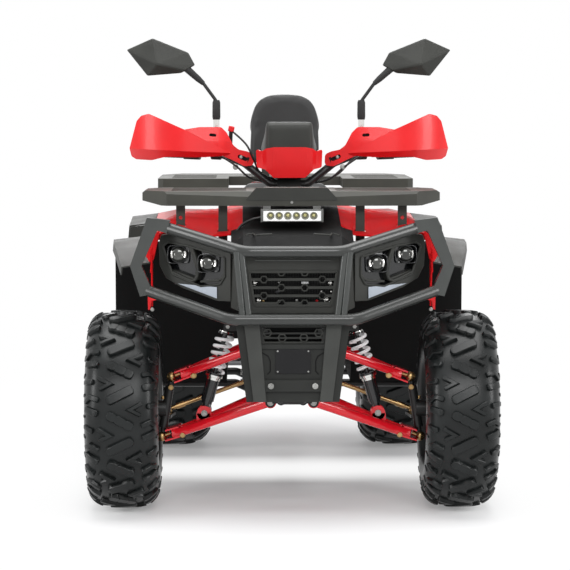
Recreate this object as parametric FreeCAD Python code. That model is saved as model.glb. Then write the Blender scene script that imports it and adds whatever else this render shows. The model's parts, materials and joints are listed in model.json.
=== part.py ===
import FreeCAD, Part
import math
import os

V = FreeCAD.Vector

# Quad bike, in millimetres. The front faces -Y, +X is the rider's left, and the floor is at z = 0.
# The origin is on the floor, under the middle of the bounding box.

# Driving dimensions
front_overhang = 320.0
wheelbase = 1200.0
rear_overhang = 300.0
tyre_radius = 266.5
front_tyre_width = 196.0
front_wheel_x = 448.0
rear_tyre_width = 250.0
rear_wheel_x = 358.0
rim_radius = 127.0
rim_lip = 7.0
tread_depth = 12.0
seat_gap = 0.3
panel_wall = 4.0

# Places worked out from them
overall_length = front_overhang + wheelbase + rear_overhang
nose_y = -overall_length / 2
tail_y = overall_length / 2
front_axle_y = nose_y + front_overhang
rear_axle_y = tail_y - rear_overhang
axle_z = tyre_radius

# Frame tubes
lower_rail_radius = 12.5
upper_rail_radius = 12.0
lower_rail_x = 100.0
outrigger_radius = 11.0
upper_rail_x = 98.0
cradle_z = 258.0
front_rail_z = 305.0
front_rail_x = 29.0
upper_rail_z = 662.0
upper_rail_start_y = nose_y + 198.0
upper_rail_bend_y = front_axle_y + 160.0
upper_rail_kick_y = rear_axle_y - 330.0
upper_rail_end_y = tail_y - 60.0
upper_rail_end_z = 733.0
front_rail_start_y = front_axle_y - 145.0
front_post_y = front_axle_y - 98.0
second_post_y = front_axle_y + 150.0
frame_joint_y = front_axle_y + 200.0
cradle_start_y = front_axle_y + 290.0
rear_post_y = rear_axle_y - 310.0
engine_y = (cradle_start_y + rear_post_y) / 2

# Front suspension pivots, at rest
lower_pivot = (57.0, 311.0)
upper_pivot = (100.0, 437.0)
lower_ball = (348.5, 191.0)
upper_ball = (322.0, 353.0)
lower_pivot_spread = 115.0
upper_pivot_spread = 90.0
bush_radius = 15.0
bush_length = 40.0
pivot_bolt_radius = 6.0
pivot_clearance = 0.3
shock_top = (170.0, 489.0)
shock_foot = (233.5, 262.0)
ball_radius = 13.0

# Steering
column_rake = 30.0
bar_clamp = V(0, front_axle_y + 320.0, 860.0)
column_length = 533.0
column_radius = 12.0
pitman_reach = 65.0
pitman_pin_x = 16.0
steering_arm_end = V(332.0, front_axle_y + 80.0, 255.0)
rod_axis = V(-0.0568, 0.5245, 1.0).normalize()
bar_radius = 11.0
mirror_stem_x = 204.0
mirror_clamp_height = 42.0

# Front bars
bar_tube_radius = 15.0
bumper_y = nose_y + bar_tube_radius
top_bar_z = 708.0
low_bar_z = 534.0

# Racks
rack_top_z = 855.0
rack_depth = 38.0
front_rack_y = (nose_y + 210.0, nose_y + 510.0)
rear_rack_y = (rear_axle_y - 260.0, tail_y - 30.0)


# Small helpers
def rad(degrees):
    return math.radians(degrees)


def block(x0, x1, y0, y1, z0, z1):
    return Part.makeBox(x1 - x0, y1 - y0, z1 - z0, V(x0, y0, z0))


def rod(start, end, radius):
    along = end - start
    return Part.makeCylinder(radius, along.Length, start, along)


def ring(start, end, outer, inner):
    return rod(start, end, outer).cut(rod(start, end, inner))


def mirrored(shape):
    return shape.mirror(V(0, 0, 0), V(1, 0, 0))


def fused(shapes):
    shapes = list(shapes)
    first = shapes[0]
    if len(shapes) == 1:
        return first
    return first.multiFuse(shapes[1:]).removeSplitter()


def pair(shape):
    return Part.makeCompound([shape, mirrored(shape)])


def polygon(points):
    return Part.Face(Part.makePolygon(points + points[:1]))


def prism_x(points, x0, x1):
    return polygon([V(x0, y, z) for y, z in points]).extrude(V(x1 - x0, 0, 0))


def prism_y(points, y0, y1):
    return polygon([V(x, y0, z) for x, z in points]).extrude(V(0, y1 - y0, 0))


def prism_z(points, z0, z1):
    return polygon([V(x, y, z0) for x, y in points]).extrude(V(0, 0, z1 - z0))


def bent_tube(points, radius, bend):
    """A round bar along the points, with an arc of the bend radius at each corner."""
    edges = []
    start = points[0]
    for before, corner, after in zip(points, points[1:], points[2:]):
        back = (before - corner).normalize()
        ahead = (after - corner).normalize()
        turn = math.pi - back.getAngle(ahead)
        trim = bend * math.tan(turn / 2)
        a = corner + back * trim
        b = corner + ahead * trim
        middle = (back + ahead).normalize()
        m = corner + middle * (bend / math.cos(turn / 2) - bend)
        edges.append(Part.LineSegment(start, a).toShape())
        edges.append(Part.Arc(a, m, b).toShape())
        start = b
    edges.append(Part.LineSegment(start, points[-1]).toShape())
    path = Part.Wire(edges)
    ahead = points[1] - points[0]
    circle = Part.Wire(Part.makeCircle(radius, points[0], ahead))
    return path.makePipe(Part.Face(circle))


def offset_line(points, distance):
    """The polyline moved sideways by the distance, to the left of its direction."""
    moved = []
    for i, (a, b) in enumerate(points):
        normals = []
        for p, q in ((i - 1, i), (i, i + 1)):
            if p >= 0 and q < len(points):
                da, db = points[q][0] - points[p][0], points[q][1] - points[p][1]
                size = math.hypot(da, db)
                normals.append((-db / size, da / size))
        na = sum(n[0] for n in normals) / len(normals)
        nb = sum(n[1] for n in normals) / len(normals)
        scale = distance / (na * na + nb * nb)
        moved.append((a + na * scale, b + nb * scale))
    return moved


def strip(points, wall):
    """The outline of a sheet of the given wall whose outer face runs along the points."""
    return points + offset_line(points, wall)[::-1]


def skin(stations, wall, place):
    """A sheet lofted through stations of (coordinate, outer polyline)."""
    wires = []
    for at, points in stations:
        outline = [place(at, a, b) for a, b in strip(points, wall)]
        wires.append(Part.makePolygon(outline + outline[:1]))
    return Part.makeLoft(wires, True, True)


def skin_along_y(stations, wall):
    return skin(stations, wall, lambda y, x, z: V(x, y, z))


def skin_along_x(stations, wall):
    return skin(stations, wall, lambda x, y, z: V(x, y, z))


def both_ways(points):
    """A half section, given from the middle outwards, completed to both sides."""
    return [(-x, z) for x, z in reversed(points)] + list(points)


def solid_along_y(stations):
    wires = []
    for y, points in stations:
        outline = [V(x, y, z) for x, z in points]
        wires.append(Part.makePolygon(outline + outline[:1]))
    return Part.makeLoft(wires, True, True)


def lowest_solid(shape):
    return min(shape.Solids, key=lambda s: s.BoundBox.ZMin)


def turned(profile, centre):
    """A ring of flat facets round the wheel's axis. The profile is (across, distance of the facet)."""
    grid = []
    for i in range(wheel_facets):
        angle = 2 * math.pi * (i + 0.5) / wheel_facets
        stretch = 1 / math.cos(math.pi / wheel_facets)
        out = V(0, math.cos(angle), math.sin(angle)) * stretch
        grid.append([centre + V(across, 0, 0) + out * r for across, r in profile])
    count = len(profile)
    faces = []
    for i, row in enumerate(grid):
        following = grid[(i + 1) % wheel_facets]
        for j in range(count):
            k = (j + 1) % count
            faces.append(polygon([row[j], row[k], following[k], following[j]]))
    shell = Part.makeShell(faces)
    shell.sewShape()
    solid = Part.makeSolid(Part.Shell(shell.Faces))
    if solid.Volume < 0:
        solid.reverse()
    return solid


# Wheels
def carcass_profile(width):
    half = width / 2
    bead = half * 0.64
    crown = tyre_radius - tread_depth
    side = [
        (half * 0.42, crown),
        (half * 0.9, crown - shoulder_drop),
        (half, crown * 0.775),
        (bead, rim_radius),
    ]
    return [(-x, r) for x, r in reversed(side)] + side


def tread_lug(centre, outline, angle, place, lean, height):
    """A lug with its outline in the plane that touches the facet at the angle, leant over at the shoulder."""
    lug = prism_z(outline, -tread_embed, height)
    lug.rotate(V(0, 0, 0), V(0, 1, 0), lean)
    lug.translate(V(place[0], 0, place[1]))
    lug.rotate(V(0, 0, 0), V(1, 0, 0), angle)
    lug.translate(centre)
    return lug


def tyre(centre, width):
    """Carcass of flat facets, with a slanted lug on each facet's crown and one on each shoulder in turn."""
    body = turned(carcass_profile(width), centre)
    crown = tyre_radius - tread_depth
    half = width / 2
    scale = half / 98
    lugs = []
    for i in range(wheel_facets):
        angle = 360.0 * i / wheel_facets
        hand = 1 if i % 2 == 0 else -1
        slant = [(x * hand * scale, y) for x, y in crown_lug]
        lugs.append(tread_lug(centre, slant, angle, (-4 * hand, crown), 0, tread_depth))
        shoulder = [(x * scale, y) for x, y in shoulder_lug]
        slope = shoulder_drop / (half * 0.48)
        lean = hand * math.degrees(math.atan(slope))
        place = (hand * half * 0.7, crown - half * 0.28 * slope)
        lugs.append(tread_lug(centre, shoulder, angle, place, lean, tread_depth - 3))
    return body.multiFuse(lugs)


wheel_facets = 24
tread_embed = 4.0
shoulder_drop = 16.0
crown_lug = [(-42, -29), (-14, -29), (38, 29), (10, 29)]
shoulder_lug = [(-14, -17), (20, -24), (20, 16), (-12, 14)]


def rim(centre, width, dish, hub, bore, side):
    """Barrel, lips, dished disc with windows and hub. The dish is how far the disc lies outboard."""
    seat = rim_radius - 0.2
    inner = seat - 4
    bead = width / 2 * 0.64
    lip = bead + 5
    barrel = turned(
        [
            (-lip - 4, inner),
            (-lip - 4, rim_radius + rim_lip),
            (-lip, rim_radius + rim_lip),
            (-lip, seat),
            (lip, seat),
            (lip, rim_radius + rim_lip),
            (lip + 4, rim_radius + rim_lip),
            (lip + 4, inner),
        ],
        centre,
    )
    hub_start, hub_end, hub_radius = hub
    disc = turned(
        [
            (side * (dish - 4), hub_radius - 6),
            (side * (dish - 4), inner + 1),
            (side * (dish + 4), inner + 1),
            (side * (dish + 4), hub_radius - 6),
        ],
        centre,
    )
    windows = []
    for i in range(window_count):
        window = prism_x(
            [
                (-window_half[0], window_ring[0]),
                (window_half[0], window_ring[0]),
                (window_half[1], window_ring[1]),
                (-window_half[1], window_ring[1]),
            ],
            -60,
            60,
        )
        window.rotate(V(0, 0, 0), V(1, 0, 0), 360.0 * (i + 0.5) / window_count)
        windows.append(window.translated(centre))
    hub = rod(centre + V(side * hub_start, 0, 0), centre + V(side * hub_end, 0, 0), hub_radius)
    body = barrel.multiFuse([disc.cut(Part.makeCompound(windows)), hub])
    return body.cut(rod(centre - V(120, 0, 0), centre + V(120, 0, 0), bore))


window_count = 8
window_ring = (58.0, 104.0)
window_half = (13.0, 27.0)
front_centre = V(front_wheel_x, front_axle_y, axle_z)
rear_centre = V(rear_wheel_x, rear_axle_y, axle_z)
spindle_radius = 12.5
spindle_bore = spindle_radius + 0.06
front_hub = (-63.0, 24.0, 28.0)
front_dish = 12.0
rotor_place = (-60.0, -56.0)
rotor_radius = 85.0
axle_radius = 15.0
rear_hub = (-20.0, 44.0, 32.0)
rear_dish = 24.0


def front_wheel():
    """Tyre, and the rim with its closed hub and brake rotor, for the +X side."""
    wheel_tyre = tyre(front_centre, front_tyre_width)
    wheel_rim = rim(front_centre, front_tyre_width, front_dish, front_hub, spindle_bore, 1)
    cap_start, hub_radius = front_hub[1] - 6, front_hub[2]
    cap = rod(front_centre + V(cap_start, 0, 0), front_centre + V(front_hub[1] + 4, 0, 0), hub_radius - 4)
    rotor = ring(
        front_centre + V(rotor_place[0], 0, 0),
        front_centre + V(rotor_place[1], 0, 0),
        rotor_radius,
        hub_radius - 1,
    )
    return wheel_tyre, fused([wheel_rim, cap, rotor])


# Front corner: knuckle, arms, shock and tie rod, all for the +X side
def corner(point):
    return V(point[0], front_axle_y, point[1])


kingpin_low = corner(lower_ball)
kingpin_high = corner(upper_ball)
kingpin = (kingpin_high - kingpin_low).normalize()
knuckle_post_gap = ball_radius + 13.0


def knuckle():
    """Upright between the ball joints, with spindle, steering arm and brake caliper."""
    foot = kingpin_low + kingpin * knuckle_post_gap
    head = kingpin_high - kingpin * knuckle_post_gap
    post = rod(foot, head, 12)
    stud = rod(kingpin_low + kingpin * (ball_radius + 0.5), kingpin_high - kingpin * (ball_radius + 0.5), 6.5)
    at_axle = kingpin_low + kingpin * ((axle_z - lower_ball[1]) / kingpin.z)
    spindle_end = V(front_wheel_x + front_hub[1] - 7, front_axle_y, axle_z)
    spindle = rod(at_axle, spindle_end, spindle_radius)
    shoulder = rod(at_axle, V(front_wheel_x + front_hub[0] - 6, front_axle_y, axle_z), 22)
    eye = steering_arm_end
    arm_z0, arm_z1 = eye.z - 16, eye.z - 8
    arm = prism_z(
        [
            (at_axle.x - 12, front_axle_y + 4),
            (eye.x - 16, eye.y),
            (eye.x + 16, eye.y),
            (at_axle.x + 12, front_axle_y + 4),
        ],
        arm_z0,
        arm_z1,
    )
    boss = rod(V(eye.x, eye.y, arm_z0), V(eye.x, eye.y, arm_z1), 18)
    hole = rod(V(eye.x, eye.y, arm_z0 - 1), V(eye.x, eye.y, arm_z1 + 1), 12)
    rotor_x0 = front_wheel_x + rotor_place[0]
    rotor_x1 = front_wheel_x + rotor_place[1]
    caliper = block(rotor_x0 - 13, rotor_x1 + 13, front_axle_y - 106, front_axle_y - 62, axle_z - 26, axle_z + 26)
    slot = block(rotor_x0 - 5, rotor_x1 + 5, front_axle_y - 90, front_axle_y - 60, axle_z - 30, axle_z + 30)
    stay = block(rotor_x0 - 20, rotor_x0 - 12, front_axle_y - 96, front_axle_y, axle_z - 12, axle_z + 12)
    body = fused([post, stud, shoulder, spindle, arm, boss, caliper.cut(slot), stay])
    return body.cut(hole)


def wishbone(pivot, ball, spread, leg_radius):
    """One A-arm: two tubes from the pivot bushes to the plate that holds the ball joint."""
    inner = [V(pivot[0], front_axle_y + side * spread, pivot[1]) for side in (-1, 1)]
    outer = corner(ball)
    run = (outer - V(pivot[0], front_axle_y, pivot[1])).normalize()
    tip = outer - run * (ball_radius + 16)
    solids = []
    for bush_centre in inner:
        half = V(0, bush_length / 2, 0)
        solids.append(rod(bush_centre - half, bush_centre + half, bush_radius))
        start = bush_centre + (tip - bush_centre).normalize() * 4
        solids.append(rod(start, tip, leg_radius))
    plate_back = tip - run * 34
    plate = Part.makeBox(38, 40, 10, V(-19, -20, -5))
    slope = math.degrees(math.atan2(run.z, run.x))
    plate.rotate(V(0, 0, 0), V(0, 1, 0), -slope)
    plate.translate((tip + plate_back) / 2)
    stub = rod(tip - run * 10, tip + run * 4, 9)
    arm = fused(solids + [plate, stub])
    for bush_centre in inner:
        reach = V(0, bush_length / 2 + 1, 0)
        arm = arm.cut(rod(bush_centre - reach, bush_centre + reach, pivot_bolt_radius + pivot_clearance))
    return arm, tip + run * 4, run


def ball_joint(ball, stub_end, run):
    centre = corner(ball)
    neck = rod(stub_end, centre, 7)
    return Part.makeSphere(ball_radius, centre).fuse(neck)


def shock_point(share):
    """A point on the shock's line, from 0 at its foot to 1 at its top."""
    foot, top = corner(shock_foot), corner(shock_top)
    return foot + (top - foot) * share


shock_eye_radius = 11.0
shock_eye_width = 22.0
spring_seat = (0.40, 0.45)
spring_span = (0.45, 0.905)
coil_radius = 18.0
coil_wire = 4.2
coil_turns = 5.5
coil_steps = 10


def damper():
    """Eyes, body, rod and the two spring plates."""
    parts = []
    for share in (0, 1):
        centre = shock_point(share)
        half = V(0, shock_eye_width / 2, 0)
        parts.append(rod(centre - half, centre + half, shock_eye_radius))
    parts.append(rod(shock_point(0.02), shock_point(0.1), 9))
    parts.append(rod(shock_point(0.085), shock_point(spring_seat[0] + 0.01), 13.5))
    parts.append(rod(shock_point(spring_seat[0]), shock_point(spring_seat[1]), 23))
    parts.append(rod(shock_point(spring_seat[1] - 0.01), shock_point(0.98), 6))
    parts.append(rod(shock_point(0.905), shock_point(0.93), 21))
    body = fused(parts)
    for share in (0, 1):
        centre = shock_point(share)
        reach = V(0, shock_eye_width / 2 + 1, 0)
        body = body.cut(rod(centre - reach, centre + reach, pivot_bolt_radius + pivot_clearance))
    return body


def coil(start, end, radius, wire, turns):
    """A spring of square-cut wire, lofted through sections on the helix."""
    axis = (end - start).normalize()
    side = axis.cross(V(0, 1, 0)).normalize()
    other = axis.cross(side)
    climb = (end - start).Length - 2 * wire - 0.4
    base = start + axis * (wire + 0.2)
    count = int(turns * coil_steps)
    wires = []
    for i in range(count + 1):
        angle = 2 * math.pi * i / coil_steps
        outward = side * math.cos(angle) + other * math.sin(angle)
        middle = base + outward * radius + axis * (climb * i / count)
        corners = [middle + outward * wire, middle + axis * wire, middle - outward * wire, middle - axis * wire]
        wires.append(Part.makePolygon(corners + corners[:1]))
    return Part.makeLoft(wires, True, True)


rake = V(0, math.sin(rad(column_rake)), math.cos(rad(column_rake)))
rake_back = V(0, math.cos(rad(column_rake)), -math.sin(rad(column_rake)))
column_foot = bar_clamp - rake * column_length
pitman_pin = column_foot + rake_back * pitman_reach + V(pitman_pin_x, 0, 0)
rod_end_radius = 9.0
pitman_wall = 8.0


def tie_rod():
    """Rod with an eye over the pitman pin and a stud that hangs in the steering arm's wide hole."""
    inner, outer = pitman_pin, steering_arm_end
    line = (outer - inner).normalize()
    eye_half = rod_axis * 5
    eye = rod(inner - eye_half, inner + eye_half, rod_end_radius + 2)
    bar = rod(inner + line * 8, outer - line * 6, 6)
    ball = rod(V(outer.x, outer.y, outer.z - 7), V(outer.x, outer.y, outer.z + 7), rod_end_radius)
    stud = rod(V(outer.x, outer.y, outer.z - 15), outer, 4.5)
    sleeve = rod(outer - line * 46, outer - line * 22, 8)
    body = fused([eye, bar, ball, stud, sleeve])
    return body.cut(rod(inner - rod_axis * 6, inner + rod_axis * 6, pivot_bolt_radius - 1 + pivot_clearance))


# Frame
def pivot_brackets(pivot, spread, rail_x, rail_z):
    """Two plates and a bolt at each bush of one A-arm."""
    parts = []
    for side in (-1, 1):
        y = front_axle_y + side * spread
        for end in (-1, 1):
            inner_face = y + end * (bush_length / 2 + pivot_clearance)
            y0, y1 = sorted((inner_face, inner_face + end * 5))
            outline = [
                (rail_x, rail_z - 8),
                (pivot[0], pivot[1] - 14),
                (pivot[0] + 12, pivot[1] - 6),
                (pivot[0] + 12, pivot[1] + 6),
                (pivot[0], pivot[1] + 14),
                (rail_x, rail_z + 8),
            ]
            parts.append(prism_y(outline, y0, y1))
        reach = V(0, bush_length / 2 + pivot_clearance + 8, 0)
        centre = V(pivot[0], y, pivot[1])
        parts.append(rod(centre - reach, centre + reach, pivot_bolt_radius))
    return parts


def post_x(z):
    """The front posts lean outwards as they rise from the front rails to the upper rails."""
    share = (z - front_rail_z) / (600 - front_rail_z)
    return front_rail_x + (upper_rail_x - 2 - front_rail_x) * share


def lower_frame(upper, guard):
    """Front rails, posts, pivot brackets and shock towers; then the cradle behind the frame's joint."""
    side = []
    rail = [
        V(front_rail_x, front_rail_start_y, front_rail_z),
        V(front_rail_x, upper_rail_bend_y, front_rail_z),
        V(lower_rail_x, cradle_start_y, cradle_z),
        V(lower_rail_x, rear_post_y - 85, cradle_z),
        V(lower_rail_x, rear_post_y, cradle_z + 72),
        V(lower_rail_x, rear_post_y, upper_rail_z - 2),
    ]
    side.append(bent_tube(rail, lower_rail_radius, 40))
    for y, top in ((front_post_y, 600), (second_post_y, 645)):
        side.append(rod(V(front_rail_x, y, front_rail_z), V(post_x(top), y, top), 11))
    tower_z = shock_top[1]
    tower_x = post_x(tower_z)
    side.append(rod(V(tower_x, front_post_y, tower_z), V(tower_x, second_post_y, tower_z), 10))
    for end in (-1, 1):
        face = front_axle_y + end * (shock_eye_width / 2 + pivot_clearance)
        y0, y1 = sorted((face, face + end * 5))
        ear = [
            (tower_x, tower_z + 9),
            (shock_top[0] + 10, tower_z + 12),
            (shock_top[0] + 12, tower_z - 10),
            (shock_top[0] - 12, tower_z - 12),
            (tower_x, tower_z - 9),
        ]
        side.append(prism_y(ear, y0, y1))
    reach = V(0, shock_eye_width / 2 + 8, 0)
    side.append(rod(corner(shock_top) - reach, corner(shock_top) + reach, pivot_bolt_radius))
    side += pivot_brackets(lower_pivot, lower_pivot_spread, front_rail_x, front_rail_z)
    arm_x, arm_z = post_x(upper_pivot[1]), upper_pivot[1]
    side += pivot_brackets(upper_pivot, upper_pivot_spread, arm_x, arm_z)
    side.append(rod(V(arm_x, front_post_y, arm_z), V(arm_x, second_post_y, arm_z), 9))
    for y in (footwell_y[0] + 72, footwell_y[1] - 146):
        outrigger = [
            V(lower_rail_x, y, cradle_z + 4),
            V(lower_rail_x + 50, y, footwell_floor_z - outrigger_radius - seat_gap),
            V(470, y, footwell_floor_z - outrigger_radius - seat_gap),
        ]
        side.append(bent_tube(outrigger, outrigger_radius, 25))
    stay_z = 500.0
    side.append(rod(V(post_x(stay_z), front_post_y, stay_z), V(post_x(stay_z), guard_back_y, stay_z), 9))
    side.append(rod(V(front_rail_x, front_rail_start_y, front_rail_z), V(62, guard_back_y - 2, 356), 9))
    pivot_bolt = rod(V(0, swing_pivot.y, swing_pivot.z), V(lower_rail_x + 10, swing_pivot.y, swing_pivot.z), 8)
    side.append(pivot_bolt)
    plate = block(
        swing_half_width + seat_gap,
        lower_rail_x,
        swing_pivot.y - 24,
        swing_pivot.y + 24,
        swing_pivot.z - 26,
        swing_pivot.z + 26,
    )
    side.append(plate)
    half = fused(side)
    middle = []
    for y, z, x in (
        (front_rail_start_y, front_rail_z, front_rail_x),
        (second_post_y, front_rail_z, front_rail_x),
        (cradle_start_y + 55, cradle_z, lower_rail_x),
        (rear_post_y - 212, cradle_z, lower_rail_x),
    ):
        middle.append(rod(V(-x, y, z), V(x, y, z), 10))
    bearing = on_column(arm_z + 15)
    middle.append(rod(bearing - rake * 16, bearing + rake * 16, 20))
    middle.append(rod(V(-arm_x, bearing.y, arm_z + 4), V(arm_x, bearing.y, arm_z + 4), 9))
    frame = fused([half, mirrored(half)] + middle).cut(column_bore()).cut(upper).cut(guard)
    back = block(-600, 600, frame_joint_y, tail_y, 0, 900)
    return frame.cut(back), frame.common(back)


def on_column(z):
    """The point of the column's axis at a height."""
    return bar_clamp - rake * ((bar_clamp.z - z) / rake.z)


def column_bore():
    return rod(bar_clamp - rake * (column_length + 80), bar_clamp, column_radius + pivot_clearance)


def rail_height(y):
    """The upper rails' centre height, which falls off at the front and climbs at the tail."""
    if y < upper_rail_bend_y:
        return upper_rail_z + (y - upper_rail_bend_y) * 0.22
    if y > upper_rail_kick_y:
        rise = (upper_rail_end_z - upper_rail_z) / (upper_rail_end_y - upper_rail_kick_y)
        return upper_rail_z + (y - upper_rail_kick_y) * rise
    return upper_rail_z


def upper_frame(cowl):
    """Upper rails, cross tubes, column collar, rack outrigger, fender stays and the rear shock's hanger."""
    rail = [
        V(upper_rail_x, upper_rail_start_y, rail_height(upper_rail_start_y)),
        V(upper_rail_x, upper_rail_bend_y, upper_rail_z),
        V(upper_rail_x, upper_rail_kick_y, upper_rail_z),
        V(upper_rail_x, upper_rail_end_y, upper_rail_end_z),
    ]
    tube = bent_tube(rail, upper_rail_radius, 60)
    parts = [tube, mirrored(tube)]
    tubes = [(rack_leg_y, rack_leg_x[1] + 16)]
    for y in (upper_rail_start_y + 12, engine_y + 120, rear_shock_top.y, upper_rail_end_y - 90):
        tubes.append((y, upper_rail_x))
    for y, reach in tubes:
        z = rail_height(y)
        parts.append(rod(V(-reach, y, z), V(reach, y, z), 10))
    collar_at = on_column(upper_rail_z + 22)
    parts.append(rod(collar_at - rake * 18, collar_at + rake * 18, 20))
    cross = V(upper_rail_x, 0, 0)
    parts.append(rod(V(0, collar_at.y, upper_rail_z - 4) - cross, V(0, collar_at.y, upper_rail_z - 4) + cross, 9))
    for side in (-1, 1):
        x0, x1 = sorted((side * (rear_eye_width / 2 + pivot_clearance), side * (rear_eye_width / 2 + 6)))
        ear_top = rail_height(rear_shock_top.y)
        parts.append(block(x0, x1, rear_shock_top.y - 14, rear_shock_top.y + 14, rear_shock_top.z - 14, ear_top))
    bolt = V(rear_eye_width / 2 + 9, 0, 0)
    parts.append(rod(rear_shock_top - bolt, rear_shock_top + bolt, pivot_bolt_radius))
    frame = fused(parts + fender_stays(cowl))
    behind = block(-200, 200, upper_rail_end_y, upper_rail_end_y + 60, 600, 900)
    return frame.cut(column_bore()).cut(behind)


# Rear suspension and drive
swing_pivot = V(0, rear_post_y, 300)
swing_half_width = 78.0
carrier_half_width = 58.0
rear_shock_top = V(0, rear_axle_y - 260, upper_rail_z - 30)
rear_shock_foot = V(0, rear_axle_y - 105, 345)
rear_eye_width = 26.0
chain_x = 72.0
chain_half_width = 5.0
chain_half_height = 6.0
rear_sprocket_radius = 78.0
front_sprocket_radius = 27.5
front_sprocket = V(chain_x, engine_y + 150, 300)


def swingarm():
    """Pivot tube, two beams, axle carrier, shock ears and the drawbar with its hitch plate."""
    half = V(swing_half_width, 0, 0)
    parts = [rod(swing_pivot - half, swing_pivot + half, 18)]
    carrier = V(carrier_half_width, 0, 0)
    axle = V(0, rear_axle_y, axle_z)
    parts.append(rod(axle - carrier, axle + carrier, 36))
    for x in (-42.0, 42.0):
        beam = bent_tube(
            [
                V(x, swing_pivot.y + 8, swing_pivot.z),
                V(x, rear_axle_y - 140, swing_pivot.z + 18),
                V(x, rear_axle_y - 18, axle_z + 6),
            ],
            14,
            60,
        )
        parts.append(beam)
    ear_foot = rear_shock_foot.z - 44
    for side in (-1, 1):
        x0, x1 = sorted((side * (rear_eye_width / 2 + pivot_clearance), side * (rear_eye_width / 2 + 6)))
        y0 = rear_shock_foot.y
        parts.append(block(x0, x1, y0 - 14, y0 + 14, ear_foot, rear_shock_foot.z + 14))
    bolt = V(rear_eye_width / 2 + 9, 0, 0)
    parts.append(rod(rear_shock_foot - bolt, rear_shock_foot + bolt, pivot_bolt_radius))
    parts.append(block(-44, 44, rear_shock_foot.y - 12, rear_shock_foot.y + 12, ear_foot - 14, ear_foot + 4))
    drawbar = block(-26, 26, rear_axle_y + 20, tail_y - hitch_plate_length, hitch_z, hitch_z + 12)
    plate = prism_z(
        [
            (-34, tail_y - hitch_plate_length - 40),
            (34, tail_y - hitch_plate_length - 40),
            (34, tail_y - 14),
            (20, tail_y),
            (-20, tail_y),
            (-34, tail_y - 14),
        ],
        hitch_z,
        hitch_z + hitch_plate_thickness,
    )
    body = fused(parts + [drawbar, plate])
    axle_bore = rod(axle - V(90, 0, 0), axle + V(90, 0, 0), axle_radius + 0.06)
    pin = V(0, hitch_hole_y, 0)
    hole = rod(V(0, pin.y, hitch_z - 2), V(0, pin.y, hitch_z + 14), hitch_hole_radius)
    pivot_bore = rod(swing_pivot - half * 1.1, swing_pivot + half * 1.1, 8 + pivot_clearance)
    return body.cut(axle_bore).cut(hole).cut(pivot_bore)


hitch_plate_length = 70.0
hitch_plate_thickness = 8.0
hitch_z = axle_z - 20.5
hitch_hole_radius = 9.5
hitch_hole_y = tail_y - 28.0


def rear_damper():
    foot, top = rear_shock_foot, rear_shock_top
    line = (top - foot).normalize()
    length = (top - foot).Length
    half = V(rear_eye_width / 2, 0, 0)
    parts = [rod(foot - half, foot + half, 12), rod(top - half, top + half, 12)]
    parts.append(rod(foot + line * 6, foot + line * 28, 10))
    parts.append(rod(foot + line * 25, foot + line * 90, 17))
    parts.append(rod(foot + line * 88, foot + line * 96, 33))
    parts.append(rod(foot + line * 94, top - line * 6, 8))
    parts.append(rod(top - line * 34, top - line * 26, 30))
    body = fused(parts)
    for end in (foot, top):
        body = body.cut(rod(end - half * 1.1, end + half * 1.1, pivot_bolt_radius + pivot_clearance))
    spring = coil(foot + line * 96, foot + line * (length - 34), 25, 5.5, 6)
    return body, spring


def rear_axle():
    """Shaft, sprocket and brake disc."""
    centre = V(0, rear_axle_y, axle_z)
    reach = V(rear_wheel_x + rear_hub[1] + 6, 0, 0)
    shaft = rod(centre - reach, centre + reach, axle_radius)
    tooth = V(3, 0, 0)
    drive = V(chain_x, rear_axle_y, axle_z)
    sprocket = rod(drive - tooth, drive + tooth, rear_sprocket_radius - chain_half_height - 0.5)
    disc = rod(V(-74, rear_axle_y, axle_z), V(-70, rear_axle_y, axle_z), 85)
    hubs = [rod(V(s * 62, rear_axle_y, axle_z), V(s * 84, rear_axle_y, axle_z), 26) for s in (-1, 1)]
    return fused([shaft, sprocket, disc] + hubs)


def belt_outline(a, b, radius_a, radius_b):
    """The face inside a taut loop round two circles in the YZ plane."""
    gap = b - a
    distance = gap.Length
    tilt = math.asin((radius_b - radius_a) / distance)
    heading = math.atan2(gap.z, gap.y)
    corners = []
    for side in (1, -1):
        angle = heading + side * (math.pi / 2 + tilt)
        out = V(0, math.cos(angle), math.sin(angle))
        corners.append((a + out * radius_a, b + out * radius_b))
    (a1, b1), (a2, b2) = corners
    along = gap.normalize()
    edges = [
        Part.LineSegment(a1, b1).toShape(),
        Part.Arc(b1, b + along * radius_b, b2).toShape(),
        Part.LineSegment(b2, a2).toShape(),
        Part.Arc(a2, a - along * radius_a, a1).toShape(),
    ]
    return Part.Face(Part.Wire(edges))


def chain():
    a = front_sprocket - V(chain_half_width, 0, 0)
    b = V(a.x, rear_axle_y, axle_z)
    outer = belt_outline(a, b, front_sprocket_radius + 2 * chain_half_height + 0.5, rear_sprocket_radius + chain_half_height)
    inner = belt_outline(a, b, front_sprocket_radius + 0.5, rear_sprocket_radius - chain_half_height)
    return outer.cut(inner).extrude(V(2 * chain_half_width, 0, 0))


# Engine and exhaust
engine_foot_z = cradle_z + lower_rail_radius + seat_gap
exhaust_x = -150.0
exhaust_z = 470.0
muffler_radius = 46.0
muffler_z = 520.0
muffler_x = -160.0


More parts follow.
